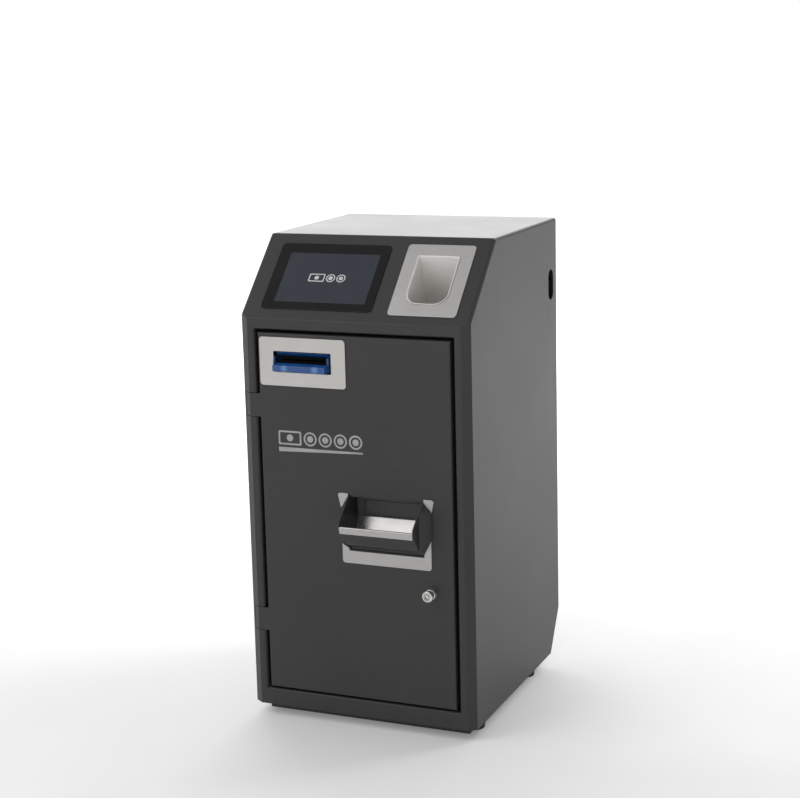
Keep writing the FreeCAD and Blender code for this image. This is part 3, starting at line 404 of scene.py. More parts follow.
def loft(name, rings, closed_ring=True):
    """Skin through rings of equally many points."""
    shape = bmesh.new()
    rows = [[shape.verts.new(point) for point in ring] for ring in rings]
    count = len(rings[0])
    spans = count if closed_ring else count - 1
    for lower, upper in zip(rows, rows[1:]):
        for index in range(spans):
            after = (index + 1) % count
            shape.faces.new((lower[index], lower[after], upper[after], upper[index]))
    bmesh.ops.recalc_face_normals(shape, faces=shape.faces)
    mesh = bpy.data.meshes.new(name)
    shape.to_mesh(mesh)
    shape.free()
    return add_mesh(name, mesh)


def merged(name, pieces):
    """One piece made of several whose meshes are already in place."""
    shape = bmesh.new()
    for piece in pieces:
        shape.from_mesh(piece.data)
        bpy.data.objects.remove(piece)
    mesh = bpy.data.meshes.new(name)
    shape.to_mesh(mesh)
    shape.free()
    return add_mesh(name, mesh)


def soften(piece, width):
    """Small rounded edges with clean shading, added as modifiers."""
    joined = piece.modifiers.new("joined_vertices", "WELD")
    joined.merge_threshold = JOIN_GAP
    bevel = piece.modifiers.new("soft_edges", "BEVEL")
    bevel.width = width
    bevel.segments = 2
    bevel.limit_method = "ANGLE"
    bevel.angle_limit = BEVEL_ANGLE
    bevel.harden_normals = True
    shading = piece.modifiers.new("even_shading", "WEIGHTED_NORMAL")
    shading.keep_sharp = True
    return piece


def thicken(piece, thickness, offset=-1.0):
    shell = piece.modifiers.new("sheet_thickness", "SOLIDIFY")
    shell.thickness = thickness
    shell.offset = offset
    return piece


def lathe(name, profile, centre, turned, steps=48):
    """Turned piece: a closed or open profile of (radius, out) points around a local axis."""
    rings = []
    for step in range(steps):
        angle = 2 * math.pi * step / steps
        turn = Vector((math.cos(angle), math.sin(angle), 0))
        rings.append([turned @ (centre + turn * radius + Vector((0, 0, out)))
                      for radius, out in profile])
    rings.append(rings[0])
    piece = loft(name, rings)
    weld(piece.data)
    return piece


def folded_sheet(path, thickness):
    """Closed outline of a bent sheet whose outer face follows the path; it lies on the left."""
    points = [Vector(point) for point in path]
    inner = []
    for index, point in enumerate(points):
        into = point - points[index - 1] if index else points[1] - point
        out_of = points[index + 1] - point if index < len(points) - 1 else into
        first, second = into.normalized(), out_of.normalized()
        middle = (first + second).normalized()
        side = Vector((-middle.y, middle.x))
        inner.append(point + side * (thickness / max(0.3, middle.dot(first))))
    return points + list(reversed(inner))


def bend(corners, radii, steps=8):
    """Open path through 2D corners with an arc at each inner corner."""
    return rounded_path(corners, [0, *radii, 0], steps)


DOOR_FACE = basis((1, 0, 0), (0, 0, 1), (0, -1, 0))
SIDE_FACE = basis((0, 1, 0), (0, 0, 1), (1, 0, 0))
BACK_FACE = basis((-1, 0, 0), (0, 0, 1), (0, 1, 0))


def moved_path(path, across, up):
    return [Vector((point[0] + across, point[1] + up)) for point in path]


def circle_path(radius, steps=32):
    return [Vector((radius * math.cos(2 * math.pi * step / steps),
                    radius * math.sin(2 * math.pi * step / steps))) for step in range(steps)]


def round_edges(node, wanted, width, segments):
    """Rounds only the edges of a CAD node that pass a test, through their bevel weights."""
    mesh = node.data
    weights = mesh.attributes.new("bevel_weight_edge", "FLOAT", "EDGE")
    for edge in mesh.edges:
        ends = [mesh.vertices[index].co for index in edge.vertices]
        weights.data[edge.index].value = 1.0 if wanted(*ends) else 0.0
    joined = node.modifiers.new("joined_vertices", "WELD")
    joined.merge_threshold = JOIN_GAP
    bevel = node.modifiers.new("rounded_edges", "BEVEL")
    bevel.width = width
    bevel.segments = segments
    bevel.limit_method = "WEIGHT"
    shading = node.modifiers.new("even_shading", "WEIGHTED_NORMAL")
    shading.keep_sharp = True


def console_basis():
    """Local basis of the sloped console: across, up the slope, out of it."""
    glass = nodes["screen_glass"].data
    largest = max(glass.polygons, key=lambda polygon: polygon.area)
    outwards = largest.normal.copy()
    if outwards.z < 0:
        outwards.negate()
    across = Vector((1, 0, 0))
    return basis(across, outwards.cross(across), outwards)


CONSOLE = console_basis()


# ---------------------------------------------------------------- carried-over CAD nodes

def dress_nodes():
    slots = {row["node"]: row["material_slot"] for row in frame["record"]["subparts"]}
    for name, node in nodes.items():
        node.data.materials.clear()
        node.data.materials.append(FINISHES.get(slots[name], BLACK_PLASTIC))


dress_nodes()

SOFT_EDGES = {
    "door_stiffeners": 0.4, "hinge_knuckles": 0.3, "hinge_brackets": 0.5, "hinge_pins": 0.3,
    "lower_shelf": 0.4, "coin_shelf": 0.4, "note_shelf": 0.4, "electronics_shelf": 0.4,
    "divider_wall": 0.4, "display_tray": 0.4, "display_module": 0.6, "lock_nut": 0.4,
    "lock_cam": 0.4, "cam_screw": 0.25, "coin_payout_chute": 0.3, "base_pan": 0.4,
    "front_plinth_rail": 0.6, "rear_plinth_rail": 0.6, "rear_lower_plate": 0.4,
    "mains_inlet": 0.4, "switch_bezel": 0.4,
    "power_rocker": 0.4, "socket_block": 0.4, "rubber_feet": 0.8, "door_buffers": 0.6,
    "coin_feed_disc": 0.5, "note_validator": 0.8, "note_feed_roller": 0.4,
    "note_pinch_roller": 0.4,
}
for soft_node, soft_width in SOFT_EDGES.items():
    soften(nodes[soft_node], soft_width * MM)


def round_shell():
    """Rounds the long outer edges of the side walls along the slope and the top."""
    slope_level = local_span("screen_glass", CONSOLE)[0].z
    inverse = CONSOLE.inverted()
    for name in ("left_side_panel", "right_side_panel"):
        low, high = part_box(name)
        outside = max(abs(low.x), abs(high.x))

        def on_crest(first, second):
            both = (first, second)
            outer = all(abs(abs(point.x) - outside) < 0.02 * MM for point in both)
            sloped = all(abs((inverse @ point).z - slope_level) < 0.1 * MM for point in both)
            level = all(abs(point.z - high.z) < 0.1 * MM for point in both)
            behind = all(abs(point.y - high.y) < 0.1 * MM for point in both)
            return outer and (sloped or level or behind)

        round_edges(nodes[name], on_crest, 1.9 * MM, 4)


round_shell()


# ---------------------------------------------------------------- screen

def screen():
    """Black cover glass with a paler display window set in it."""
    low, high = local_span("screen_glass", CONSOLE)
    window_width = 151 * MM
    window_height = 94 * MM
    middle_x = (low.x + high.x) / 2 + 2.3 * MM
    middle_v = (low.y + high.y) / 2 - 2.5 * MM
    half_x = window_width / 2
    half_v = window_height / 2
    window = block_path(middle_x - half_x, middle_x + half_x, middle_v - half_v,
                        middle_v + half_v, 1.2 * MM)
    border = plate("screen_cover", block_path(low.x, high.x, low.y, high.y, 7 * MM), [window],
                   low.z, high.z, 0.35 * MM, CONSOLE)
    finish_piece(border, "cabinet", GLASS, ["screen_glass"])
    picture = plate("display_window", window, [], low.z, high.z - 0.12 * MM, 0.12 * MM, CONSOLE)
    finish_piece(picture, "cabinet", WINDOW)
    mark_height = 15 * MM
    mark = cash_mark(middle_x - mark_height * 2.05, middle_v - mark_height / 2, mark_height, 2)
    lit = high.z - 0.1 * MM
    for index, (outline, holes) in enumerate(mark):
        sign = plate(f"screen_mark_{index + 1}", outline, holes, lit - 0.05 * MM,
                     lit + 0.05 * MM, 0.01 * MM, CONSOLE)
        finish_piece(sign, "cabinet", LIT_PRINT)


def cash_mark(left, low, height, coins):
    """Generic pictogram of a banknote and a row of coins, as outlines with their holes."""
    line = height * 0.12
    width = height * 1.75
    coin = height / 2
    note = block_path(0, width, 0, height, height * 0.1)
    field = block_path(line, width - line, line, height - line, height * 0.05)
    seal = moved_path(circle_path(height * 0.25), width / 2, height / 2)
    shapes = [(note, [field]), (seal, [])]
    for index in range(coins):
        centre = width + height * (0.68 + 1.15 * index)
        ring = moved_path(circle_path(coin), centre, coin)
        gap = moved_path(circle_path(coin - line), centre, coin)
        core = moved_path(circle_path(coin - 2.2 * line), centre, coin)
        shapes += [(ring, [gap]), (core, [])]
    return [(moved_path(outline, left, low), [moved_path(hole, left, low) for hole in holes])
            for outline, holes in shapes]


screen()


def door_mark():
    """Pale printed pictogram with a ruled line under it, on the door's skin."""
    low = local_span("note_plate", DOOR_FACE)[0]
    left = low.x + 27 * MM
    level = low.y - 92 * MM
    shapes = cash_mark(left, level, 22 * MM, 4)
    rule = [(left, level - 11 * MM), (left + 141 * MM, level - 6.5 * MM),
            (left + 141 * MM, level - 4 * MM), (left, level - 4 * MM)]
    shapes.append((rounded_path(rule, 0.3 * MM), []))
    skin = low.z
    for index, (outline, holes) in enumerate(shapes):
        sign = plate(f"door_mark_{index + 1}", outline, holes, skin, skin + 0.08 * MM,
                     0.02 * MM, DOOR_FACE)
        finish_piece(sign, "door", PRINT)


door_mark()


# ---------------------------------------------------------------- coin funnel

def funnel():
    """Stainless mouth plate, a rolled lip and the leaning duct below it."""
    low, high = local_span("coin_funnel_plate", CONSOLE)
    middle = (low.x + high.x) / 2
    plate_middle = (low.y + high.y) / 2
    half = 32.9 * MM
    mouth_low = plate_middle - 44.75 * MM
    mouth_high = plate_middle + 43.95 * MM
    roll = 1.1 * MM

    def mouth(grow):
        radii = [21 * MM + grow, 21 * MM + grow, 3 * MM + grow, 3 * MM + grow]
        return block_path(middle - half - grow, middle + half + grow, mouth_low - grow,
                          mouth_high + grow, radii, 12)

    outline = block_path(low.x, high.x, low.y, high.y, 6 * MM)
    cover = plate("coin_funnel_mouth_plate", outline, [mouth(roll)], low.z, high.z, 0.4 * MM,
                  CONSOLE)
    finish_piece(cover, "cabinet", STAINLESS, ["coin_funnel_plate"])

    rings = []
    arc_steps = 6
    for step in range(arc_steps + 1):
        turn = math.pi / 2 * step / arc_steps
        grow = roll * (1 - math.sin(turn))
        level = high.z + 0.3 * MM - roll * (1 - math.cos(turn))
        rings.append([CONSOLE @ Vector((point[0], point[1], level)) for point in mouth(grow)])
    lean = math.radians(23.4)
    way = CONSOLE.to_3x3() @ Vector((0, -math.sin(lean), -math.cos(lean)))
    floor_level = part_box("coin_funnel_duct")[0].z
    start = rings[-1]
    for share in (0.12, 0.3, 0.5, 0.75, 1.0):
        rings.append([point + way * ((floor_level - point.z) / way.z * share)
                      for point in start])
    duct = loft("coin_funnel_chute", rings)
    thicken(duct, 1.2 * MM, 1.0)
    finish_piece(duct, "cabinet", BLASTED, ["coin_funnel_duct"])


funnel()


# ---------------------------------------------------------------- note mouth and its plate

def note_front():
    """Stainless note plate with its window."""
    low, high = local_span("note_plate", DOOR_FACE)
    middle = (low.x + high.x) / 2
    rise = (low.y + high.y) / 2
    window = block_path(middle - 48 * MM, middle + 48 * MM, rise - 16 * MM, rise + 16 * MM,
                        2 * MM)
    cover = plate("note_mouth_plate", block_path(low.x, high.x, low.y, high.y, 5 * MM),
                  [window], low.z, high.z, 0.4 * MM, DOOR_FACE)
    finish_piece(cover, "door", NOTE_STEEL, ["note_plate"])


def side_bar(name, corners, radii, left, right, body, material, stands_for=()):
    """Bar along X with a rounded (depth, height) outline and softened ends."""
    bar = plate(name, rounded_path(corners, radii, 6), [], left, right, 0.35 * MM, SIDE_FACE)
    return finish_piece(bar, body, material, stands_for)


def note_mouth():
    """Blue mouth: a lip that stands out below the slot, a hood above it and one cheek."""
    low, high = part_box("note_mouth")
    skin = local_span("note_plate", DOOR_FACE)[0].z
    face = -skin
    lip_top = low.z + 13.0 * MM
    hood_low = low.z + 22.6 * MM
    # Places and reach of the painted highlights on the lip.
    painted_glints = [(Vector((low.x + 19.5 * MM, low.y, low.z + 5.2 * MM)), 9 * MM),
             (Vector((high.x - 21 * MM, low.y, low.z + 5.2 * MM)), 9 * MM)]
    blue = blue_mouth("Blue_translucent", painted_glints, 1.0, 0.42)
    # Painted shade: a darker copy of the blue that glows less, for the hood and the cheeks, which
    # sit in shade.
    shaded_blue = blue_mouth("Blue_translucent_shaded", [], 0.75, 0.14)
    lip = [(high.y, low.z), (low.y, low.z), (low.y, lip_top - 3.8 * MM),
           (face + 4 * MM, lip_top), (high.y, lip_top)]
    side_bar("note_mouth_lip", lip, [0.5 * MM, 1.6 * MM, 1.6 * MM, 2 * MM, 0.5 * MM], low.x,
             high.x - 4.6 * MM, "cabinet", blue, ["note_mouth"])
    hood = [(high.y, hood_low), (face + 5.5 * MM, hood_low), (face + 0.6 * MM, high.z - 0.6 * MM),
            (face + 2 * MM, high.z), (high.y, high.z)]
    side_bar("note_mouth_hood", hood, [0.4 * MM, 1.2 * MM, 0.8 * MM, 0.6 * MM, 0.4 * MM],
             low.x + 3.2 * MM, high.x - 1.2 * MM, "cabinet", shaded_blue)
    cheek = [(high.y, lip_top - 1 * MM), (face - 5.5 * MM, lip_top - 2.4 * MM),
             (face - 2.5 * MM, hood_low), (high.y, hood_low + 0.8 * MM)]
    side_bar("note_mouth_cheek", cheek, [0.4 * MM, 1.4 * MM, 1.4 * MM, 0.4 * MM], low.x,
             low.x + 2.6 * MM, "cabinet", shaded_blue)
    side_bar("note_mouth_right_cheek", [(high.y, low.z), (face + 1.5 * MM, low.z),
                                        (face + 1.5 * MM, hood_low), (high.y, hood_low)],
             0.5 * MM, high.x - 5.2 * MM, high.x - 1.2 * MM, "cabinet", shaded_blue)
    throat_left, throat_right = low.x + 2.8 * MM, high.x - 5.4 * MM
    middle = (lip_top + hood_low) / 2
    gap = 1.1 * MM
    opening = block_path(throat_left + 2 * MM, throat_right - 2 * MM, middle - gap, middle + gap,
                         0.4 * MM)
    throat = plate("note_throat", block_path(throat_left, throat_right, lip_top - 0.8 * MM,
                                             hood_low + 0.6 * MM, 0.3 * MM),
                   [opening], skin - 3 * MM, skin - 0.6 * MM, 0.2 * MM, DOOR_FACE)
    # The throat plate is painted shade: a black sheet that makes the note slot read as shade.
    finish_piece(throat, "cabinet", SHADE_BLACK)
    lining = [(high.y - 1 * MM, lip_top - 0.4 * MM), (face + 3.4 * MM, lip_top - 0.4 * MM),
              (face + 3.4 * MM, lip_top + 1 * MM), (high.y - 1 * MM, lip_top + 1 * MM)]
    # The throat floor is painted shade as well.
    side_bar("note_throat_floor", lining, 0.3 * MM, throat_left, throat_right, "cabinet",
             SHADE_BLACK)


note_front()
note_mouth()


# ---------------------------------------------------------------- coin plate

def coin_front():
    """Stainless plate around the cup, open at the top and flared into two ears."""
    low, high = local_span("coin_plate", DOOR_FACE)
    middle = (low.x + high.x) / 2
    half = 73.2 * MM
    wide = (high.x - low.x) / 2
    slit = 61.8 * MM
    neck = low.y + 84 * MM
    floor = low.y + 20 * MM
    corners = [(-half, low.y), (half, low.y), (half, neck), (wide, high.y - 4 * MM),
               (wide, high.y), (slit, high.y), (slit, floor), (-slit, floor),
               (-slit, high.y), (-wide, high.y), (-wide, high.y - 4 * MM), (-half, neck)]
    radii = [5, 5, 10, 0, 3.6, 0, 1, 1, 0, 3.6, 0, 10]
    outline = rounded_path([(middle + x, up) for x, up in corners],
                           [radius * MM for radius in radii])
    cover = plate("coin_cup_plate", outline, [], low.z, high.z, 0.35 * MM, DOOR_FACE)
    finish_piece(cover, "door", CUP_STEEL, ["coin_plate"])


class CupFrame:
    """Levels and edges that the pieces of the pay-out cup share."""

    def __init__(self):
        self.low, self.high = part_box("coin_cup")
        flange = 9 * MM
        self.skin = -local_span("coin_plate", DOOR_FACE)[0].z
        self.left = self.low.x + flange
        self.right = self.high.x - flange
        self.top = self.high.z - 8 * MM
        self.rim = self.top - 37 * MM
        self.tip = self.low.y
        self.inside = self.high.y
        self.wall = 2 * MM


def cup_housing(cup):
    """Two painted cheeks and the folded shell below the lip."""
    knee_y, knee_z = cup.skin - 27.6 * MM, cup.top - 67.5 * MM
    root_z = cup.top - 84 * MM
    cheek = [(cup.inside, cup.top), (cup.inside, cup.top - 77 * MM),
             (cup.skin, root_z + 0.4 * MM), (knee_y, knee_z),
             (cup.tip + 2.5 * MM, cup.top - 43 * MM), (cup.tip, cup.top - 34 * MM),
             (cup.skin - 2 * MM, cup.top)]
    radii = [radius * MM for radius in (0.5, 1, 3, 3, 3, 4, 3)]
    side_bar("coin_cup_left_cheek", cheek, radii, cup.left, cup.left + cup.wall, "door",
             DOOR_PAINT, ["coin_cup"])
    start = cup.right - cup.wall
    side_bar("coin_cup_right_cheek", cheek, radii, start, start + cup.wall, "door",
             DOOR_PAINT)
    shell = [(cup.tip + 2.2 * MM, cup.top - 46.5 * MM), (knee_y + 0.4 * MM, knee_z + 0.2 * MM),
             (cup.skin + 3 * MM, root_z + 2.2 * MM)]
    tuck = cup.wall * 0.6
    housing = plate("coin_cup_front_shell", folded_sheet(bend(shell, [2.5 * MM]), 1.6 * MM), [],
                    cup.left + tuck, cup.right - tuck, 0.3 * MM, SIDE_FACE)
    finish_piece(housing, "door", DOOR_PAINT)


def cup_tray(cup):
    """Stainless sheet: rolled lip, scoop and the ramp up to the back wall."""
    path = [(cup.tip + 2.6 * MM, cup.rim - 12 * MM), (cup.tip + 0.9 * MM, cup.rim - 2.6 * MM),
            (cup.tip + 4.4 * MM, cup.rim + 0.3 * MM), (cup.tip + 9.5 * MM, cup.rim - 13 * MM),
            (cup.tip + 18 * MM, cup.rim - 30 * MM), (cup.skin + 10 * MM, cup.rim - 31 * MM),
            (cup.inside - 4.6 * MM, cup.rim - 7 * MM), (cup.inside - 1.6 * MM, cup.rim - 2 * MM)]
    bends = [2.4 * MM, 2.0 * MM, 12 * MM, 7 * MM, 12 * MM, 3 * MM]
    sheet = folded_sheet(bend(path, bends, 10), -1.2 * MM)
    side_gap = 0.2 * MM
    liner = plate("coin_cup_tray", sheet, [], cup.left + cup.wall + side_gap,
                  cup.right - cup.wall - side_gap, 0.3 * MM, SIDE_FACE)
    finish_piece(liner, "door", TRAY_STEEL)


def cup_back(cup):
    """Back wall with the pay-out window, and the flap that closes the window."""
    middle = (cup.left + cup.right) / 2
    seat = -cup.inside + 0.1 * MM
    window = block_path(middle - 48 * MM, middle + 48 * MM, cup.rim + 0.5 * MM,
                        cup.rim + 25 * MM, 2 * MM)
    wall = block_path(cup.left + cup.wall, cup.right - cup.wall, cup.rim - 3 * MM,
                      cup.top - 2 * MM, 0.5 * MM)
    behind = plate("coin_cup_back", wall, [window], seat, -cup.inside + 1.4 * MM, 0.3 * MM,
                   DOOR_FACE)
    # The back wall wears the lightened cup paint: painted light.
    finish_piece(behind, "door", CUP_INSIDE_LIGHTENED)
    cover = block_path(middle - 47.4 * MM, middle + 47.4 * MM, cup.rim + 1.1 * MM,
                       cup.rim + 24.4 * MM, 1.6 * MM)
    flap = plate("coin_cup_flap", cover, [], seat, -cup.inside + 1.2 * MM, 0.3 * MM, DOOR_FACE)
    # The flap wears the lightened cup paint: painted light.
    finish_piece(flap, "door", CUP_INSIDE_LIGHTENED)


def cup_surround(cup):
    """Flange behind the door's skin, the roof of the cup and the two folded wings."""
    inner = cup.skin + 2.1 * MM
    slack = 0.5 * MM
    hole = block_path(cup.left + slack, cup.right - slack, cup.top - 81 * MM, cup.top - slack,
                      1 * MM)
    rim = block_path(cup.low.x, cup.high.x, cup.low.z, cup.high.z, 3 * MM)
    flange = plate("coin_cup_flange", rim, [hole], -inner - 1.5 * MM, -inner, 0.2 * MM, DOOR_FACE)
    finish_piece(flange, "door", DOOR_PAINT)
    front = cup.skin + 1 * MM
    above = cup.top - 0.2 * MM
    below = cup.top - 2 * MM
    hood = [(front, above), (cup.inside, above), (cup.inside, below), (front, below)]
    side_bar("coin_cup_roof", hood, 0.4 * MM, cup.left + cup.wall, cup.right - cup.wall, "door",
             DOOR_PAINT)
    cup_flare("coin_cup_left_flare", -1, cup.left, cup.skin, cup.top, 23 * MM)
    cup_flare("coin_cup_right_flare", 1, cup.right, cup.skin, cup.top, 15 * MM)


def coin_cup():
    """Painted cup housing with a stainless tray, made piece by piece in a fixed order."""
    cup = CupFrame()
    cup_housing(cup)
    cup_tray(cup)
    cup_back(cup)
    cup_surround(cup)


def cup_flare(name, side, edge, skin, top, drop):
    """Folded wing that carries a cup cheek outwards to the plate's edge."""
    out = edge + side * 13.0 * MM
    face = skin - 1.6 * MM
    ridge = skin - 19 * MM
    corners = [(edge, face, top - 1.5 * MM), (edge, ridge, top - 14.4 * MM),
               (edge, ridge, top - 72 * MM), (edge, face, top - 82 * MM),
               (out, face, top - drop), (out, face, top - 58 * MM)]
    shape = bmesh.new()
    verts = [shape.verts.new(corner) for corner in corners]
    for face_corners in ((0, 1, 4), (1, 2, 5, 4), (2, 3, 5)):
        shape.faces.new([verts[corner] for corner in face_corners])
    bmesh.ops.recalc_face_normals(shape, faces=shape.faces)
    mesh = bpy.data.meshes.new(name)
    shape.to_mesh(mesh)
    shape.free()
    wing = add_mesh(name, mesh)
    thicken(wing, 0.8 * MM, -1.0 if side > 0 else 1.0)
    finish_piece(wing, "door", DOOR_PAINT)


def lock():
    """Tubular lock: turned barrel with a chamfered nose, and a plug with its key ring."""
    low, high = local_span("lock_barrel", DOOR_FACE)
    centre = Vector(((low.x + high.x) / 2, (low.y + high.y) / 2, 0))
    nose = high.z
    base = local_span("note_plate", DOOR_FACE)[0].z
    barrel = [(5.6, low.z), (5.6, nose - 0.5 * MM), (6.0, nose), (7.4, nose),
              (8.4, nose - 1.0 * MM), (8.4, nose - 3.2 * MM), (7.4, nose - 4.0 * MM),
              (7.4, base + 9.5 * MM), (7.9, base + 9.2 * MM), (8.7, base + 8.0 * MM),
              (9.3, base + 6.0 * MM), (9.6, base + 3.4 * MM), (9.6, base + 0.4 * MM),
              (9.3, base), (8.6, base), (8.6, low.z)]
    profile = [(radius * MM, out) for radius, out in barrel]
    turned = lathe("lock_barrel_turned", profile, centre, DOOR_FACE)
    finish_piece(turned, "door", NICKEL, ["lock_barrel"])
    tail, face = local_span("lock_plug", DOOR_FACE)[0].z, nose - 0.5 * MM
    plug = [(0.0, tail), (5.3, tail), (5.3, face - 0.4 * MM), (4.9, face), (4.1, face),
            (3.9, face - 0.3 * MM), (3.9, face - 4 * MM), (2.2, face - 4 * MM),
            (2.2, face - 0.4 * MM), (1.8, face - 0.1 * MM), (0.0, face - 0.1 * MM)]
    profile = [(radius * MM, out) for radius, out in plug]
    core = lathe("lock_plug_turned", profile, centre, DOOR_FACE)
    finish_piece(core, "lock", NICKEL, ["lock_plug"])
    notch = plate("lock_plug_notch", block_path(centre.x - 0.8 * MM, centre.x + 0.8 * MM,
                                                centre.y + 3.7 * MM, centre.y + 5.1 * MM,
                                                0.3 * MM),
                  [], face - 2 * MM, face + 0.05 * MM, 0.04 * MM, DOOR_FACE)
    # The keyway notch is painted shade.
    finish_piece(notch, "lock", SHADE_BLACK)


coin_front()
coin_cup()
lock()


# ---------------------------------------------------------------- modules behind the door

def fitting(node, name, spans, corner, rise, slot, material, seat=0.0, edge=0.4):
    """Raised fields on a module's front, as one piece; spans are mm from its lower corner."""
    low, high = local_span(node, DOOR_FACE)
    face = high.z + seat * MM
    fields = []
    for left, right, bottom, top in spans:
        outline = block_path(low.x + left * MM, low.x + right * MM, low.y + bottom * MM,
                             low.y + top * MM, corner * MM)
        fields.append(plate(name, outline, [], face - 0.3 * MM, face + rise * MM, edge * MM,
                            DOOR_FACE))
    return finish_piece(merged(f"{node}_{name}", fields), "cabinet", material)


def bars(count, start, pitch, width, low, high, upright=True):
    """Spans of equal bars in a row, upright or level."""
    steps = [start + pitch * index for index in range(count)]
    if upright:
        return [(step, step + width, low, high) for step in steps]
    return [(low, high, step, step + width) for step in steps]


def module_screws(node, places, seat=0.0):
    """Small socket screws at places given in mm from a module's lower corner."""
    low, high = local_span(node, DOOR_FACE)
    spots = [(low.x + across * MM, low.y + up * MM, high.z + seat * MM)
             for across, up in places]
    socket_screws(f"{node}_screws", spots, 3.0 * MM, 1.6 * MM, DOOR_FACE)


def socket_screws(name, spots, radius, height, turned, stands_for=()):
    """Button heads with a hexagon socket; spots are (across, up, seat level)."""
    heads, sockets = [], []
    for across, up, seat in spots:
        ring = moved_path(circle_path(radius, 24), across, up)
        socket = moved_path(circle_path(radius * 0.48, 6), across, up)
        floor = moved_path(circle_path(radius * 0.6, 12), across, up)
        heads.append(plate(name, ring, [socket], seat, seat + height, radius * 0.2, turned))
        sockets.append(plate(name, floor, [], seat, seat + height * 0.3, 0.05 * MM, turned))
    finish_piece(merged(name, heads), "cabinet", ZINC, stands_for)
    # Painted shade: a black disc at the bottom of each hexagon socket.
    finish_piece(merged(name + "_sockets", sockets), "cabinet", SHADE_BLACK)


def modules():
    """Covers, ribs, tubes and green touch points on the units behind the door."""
    black = ("black_plastic", SHADED_PLASTIC)
    pale = ("module_plastic", MODULE_PLASTIC)
    green = ("module_plastic", GREEN_TOUCH)
    fitting("note_validator", "bands", [(4, 116, 60, 76), (4, 116, 4, 18)], 2, 1.6, *black)
    fitting("note_validator", "release", [(84, 112, 6.5, 15.5)], 2, 4.5, *green, 0.0, 1.0)
    fitting("note_recycler", "drum_covers", [(24, 108, 134, 222), (24, 108, 40, 128)], 4, 3.6,
            *black, -3.0, 0.8)
    fitting("note_recycler", "cover_ribs",
            bars(6, 148, 12, 3, 34, 98, False) + bars(6, 54, 12, 3, 34, 98, False), 1, 5.0,
            *pale, -3.0, 0.6)
    fitting("note_recycler", "pull", [(42, 90, 236, 250)], 3, 6.0, *green, 0.0, 1.4)
    module_screws("note_recycler", [(9, 12), (119, 12), (9, 250), (119, 250)])
    fitting("note_cash_box", "lid", [(5, 119, 132, 152)], 3, 2.0, *black, -10.0, 0.7)
    fitting("note_cash_box", "ribs", bars(7, 18, 13.5, 4, 12, 92), 1.5, 2.2, *pale, -10.0, 0.8)
    module_screws("note_cash_box", [(12, 142), (112, 142)], -8.0)
    fitting("coin_recycler", "service_cover", [(14, 141, 21, 143)], 4, 3.4, *black, -3.0, 0.8)
    fitting("coin_recycler", "cover_vents", bars(7, 46, 11, 4, 34, 121, False), 1.5, 4.6,
            *pale, -3.0, 0.7)
    fitting("coin_recycler", "tubes", bars(5, 15, 27, 22, 158, 230), 4, 6.0, *black, 0.0, 3.2)
    fitting("coin_recycler", "tube_clip", [(12, 148, 188, 195)], 1, 7.2, "zinc_steel", ZINC)
    fitting("coin_recycler", "release", [(60, 96, 4, 13)], 2.5, 4.5, *green, 0.0, 1.2)
    module_screws("coin_recycler", [(21, 28), (134, 28), (21, 136), (134, 136)], 0.4)
    fitting("coin_cash_box", "rim", [(4, 142, 148, 166)], 3, 2.0, *black, -11.0, 0.7)
    fitting("coin_cash_box", "ribs", bars(8, 20, 14, 4, 12, 102), 1.5, 2.2, *pale, -11.0, 0.8)
    module_screws("coin_cash_box", [(12, 157), (134, 157)], -9.0)


def islands(node):
    """Lowest and highest corner of each separate solid in a CAD node, in the CAD frame."""
    shape = bmesh.new()
    shape.from_mesh(nodes[node].data)
    bmesh.ops.remove_doubles(shape, verts=shape.verts, dist=JOIN_GAP)
    waiting = set(shape.verts)
    found = []
    while waiting:
        reached = [waiting.pop()]
        for vertex in reached:
            for edge in vertex.link_edges:
                other = edge.other_vert(vertex)
                if other in waiting:
                    waiting.remove(other)
                    reached.append(other)
        found.append([Vector([pick(vertex.co[axis] for vertex in reached) for axis in range(3)])
                      for pick in (min, max)])
    shape.free()
    return sorted(found, key=lambda corners: tuple(round(part, 4) for part in corners[0]))


def back_screws():
    """Socket heads of the service panel's screws, each in the place of its CAD screw."""
    height = 2.2 * MM
    spots = []
    for low, high in islands("back_panel_screws"):
        spots.append((-(low.x + high.x) / 2, (low.z + high.z) / 2, high.y - height))
    radius = (high.x - low.x) / 2
    socket_screws("back_screw_heads", spots, radius, height, BACK_FACE, ["back_panel_screws"])


modules()
back_screws()


# ---------------------------------------------------------------- stage, lights and camera

SOFT_BOXES = [  # name, place, target, width, height, radiance
    ("Box_behind", (-1.4, 3.2, 1.75), (-0.1, 0.0, 0.75), 4.0, 2.0, 2.9),
    ("Box_right", (2.4, 2.4, 3.4), (0.0, 0.2, 0.3), 1.1, 1.1, 8.5),
    ("Box_front_left", (-1.75, -2.1, 2.75), (0.0, -0.2, 0.4), 2.2, 2.2, 1.8),
    ("Box_front", (0.5, -3.4, 1.9), (0.0, -0.2, 0.5), 1.6, 1.6, 1.4),
]
BRIGHT_SIDE = (-0.6, 0.8, 0.0)
ROOM_DIM, ROOM_BRIGHT = 0.12, 0.85
CAMERA_PLACE = (1.0887, -2.5602, 1.0680)
CAMERA_TURN = (78.9907, 1.4816, 23.3038)


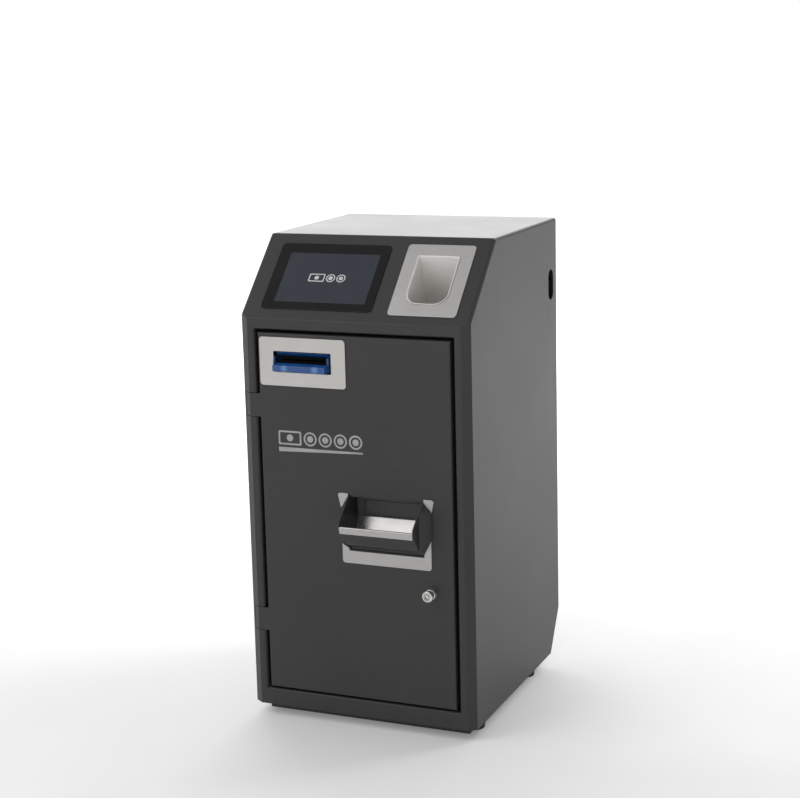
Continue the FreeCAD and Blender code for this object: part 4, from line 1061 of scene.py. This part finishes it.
def stage():
    """Plain pale floor that brightens gently into the distance on every side."""
    half = 30.0
    floor = loft("studio_floor", [[(-half, -half, 0), (half, -half, 0)],
                                  [(-half, half, 0), (half, half, 0)]], closed_ring=False)
    pale = Shader("Studio_floor")
    behind = pale.node("SeparateXYZ", {"Vector": pale.where}).outputs["Y"]
    reach = pale.node("VectorMath", {"Vector": pale.where}, operation="LENGTH").outputs["Value"]
    far = pale.math("MAXIMUM", pale.span(behind, 0.0, 1.0, -0.2, 3.0),
                    pale.span(reach, 0.0, 1.0, 2.8, 5.5))
    pale.set(base_color=pale.mix(pale.span(pale.noise(3.0), 0.0, 1.0), grey(0.84), grey(0.86)),
             roughness=pale.span(pale.noise(8.0), 0.75, 0.85),
             emission_color=pale.mix(far, grey(0.16), grey(0.8)))
    floor.data.materials.append(fixed(pale.material, emission_strength=1.0))


def softbox(name, place, target, width, height, radiance):
    """Rectangular light whose face has the given radiance."""
    lamp = bpy.data.lights.new(name, "AREA")
    lamp.shape = "RECTANGLE"
    lamp.size = width
    lamp.size_y = height
    lamp.energy = radiance * math.pi * width * height
    light = bpy.data.objects.new(name, lamp)
    scene.collection.objects.link(light)
    light.location = place
    light.rotation_euler = (Vector(target) - Vector(place)).to_track_quat("-Z", "Y").to_euler()
    light.visible_camera = False


def lights():
    """Soft room light that is brightest behind, and four soft boxes."""
    room = bpy.data.worlds.new("Studio")
    room.use_nodes = True
    tree = room.node_tree
    background = tree.nodes["Background"]
    toward = tree.nodes.new("ShaderNodeVectorMath")
    toward.operation = "DOT_PRODUCT"
    toward.inputs[1].default_value = BRIGHT_SIDE
    tree.links.new(tree.nodes.new("ShaderNodeTexCoord").outputs["Generated"], toward.inputs[0])
    level = tree.nodes.new("ShaderNodeMapRange")
    level.inputs["From Min"].default_value = -1.0
    level.inputs["To Min"].default_value = ROOM_DIM
    level.inputs["To Max"].default_value = ROOM_BRIGHT
    tree.links.new(toward.outputs["Value"], level.inputs["Value"])
    seen = tree.nodes.new("ShaderNodeMix")
    tree.links.new(tree.nodes.new("ShaderNodeLightPath").outputs["Is Camera Ray"],
                   seen.inputs["Factor"])
    tree.links.new(level.outputs["Result"], seen.inputs["A"])
    seen.inputs["B"].default_value = 1.0
    tree.links.new(seen.outputs["Result"], background.inputs["Strength"])
    background.inputs["Color"].default_value = grey(1.0)
    scene.world = room
    for name, place, target, width, height, radiance in SOFT_BOXES:
        softbox(name, place, target, width, height, radiance)
    scene.view_settings.view_transform = "Standard"


def camera():
    lens = bpy.data.cameras.new("Camera")
    lens.lens = 80.14
    lens.sensor_width = 36.0
    lens.shift_x = 0.02095
    lens.shift_y = -0.03205
    lens.clip_end = 100.0
    eye = bpy.data.objects.new("Camera", lens)
    scene.collection.objects.link(eye)
    eye.location = CAMERA_PLACE
    eye.rotation_euler = [math.radians(angle) for angle in CAMERA_TURN]
    scene.camera = eye


stage()
lights()
camera()
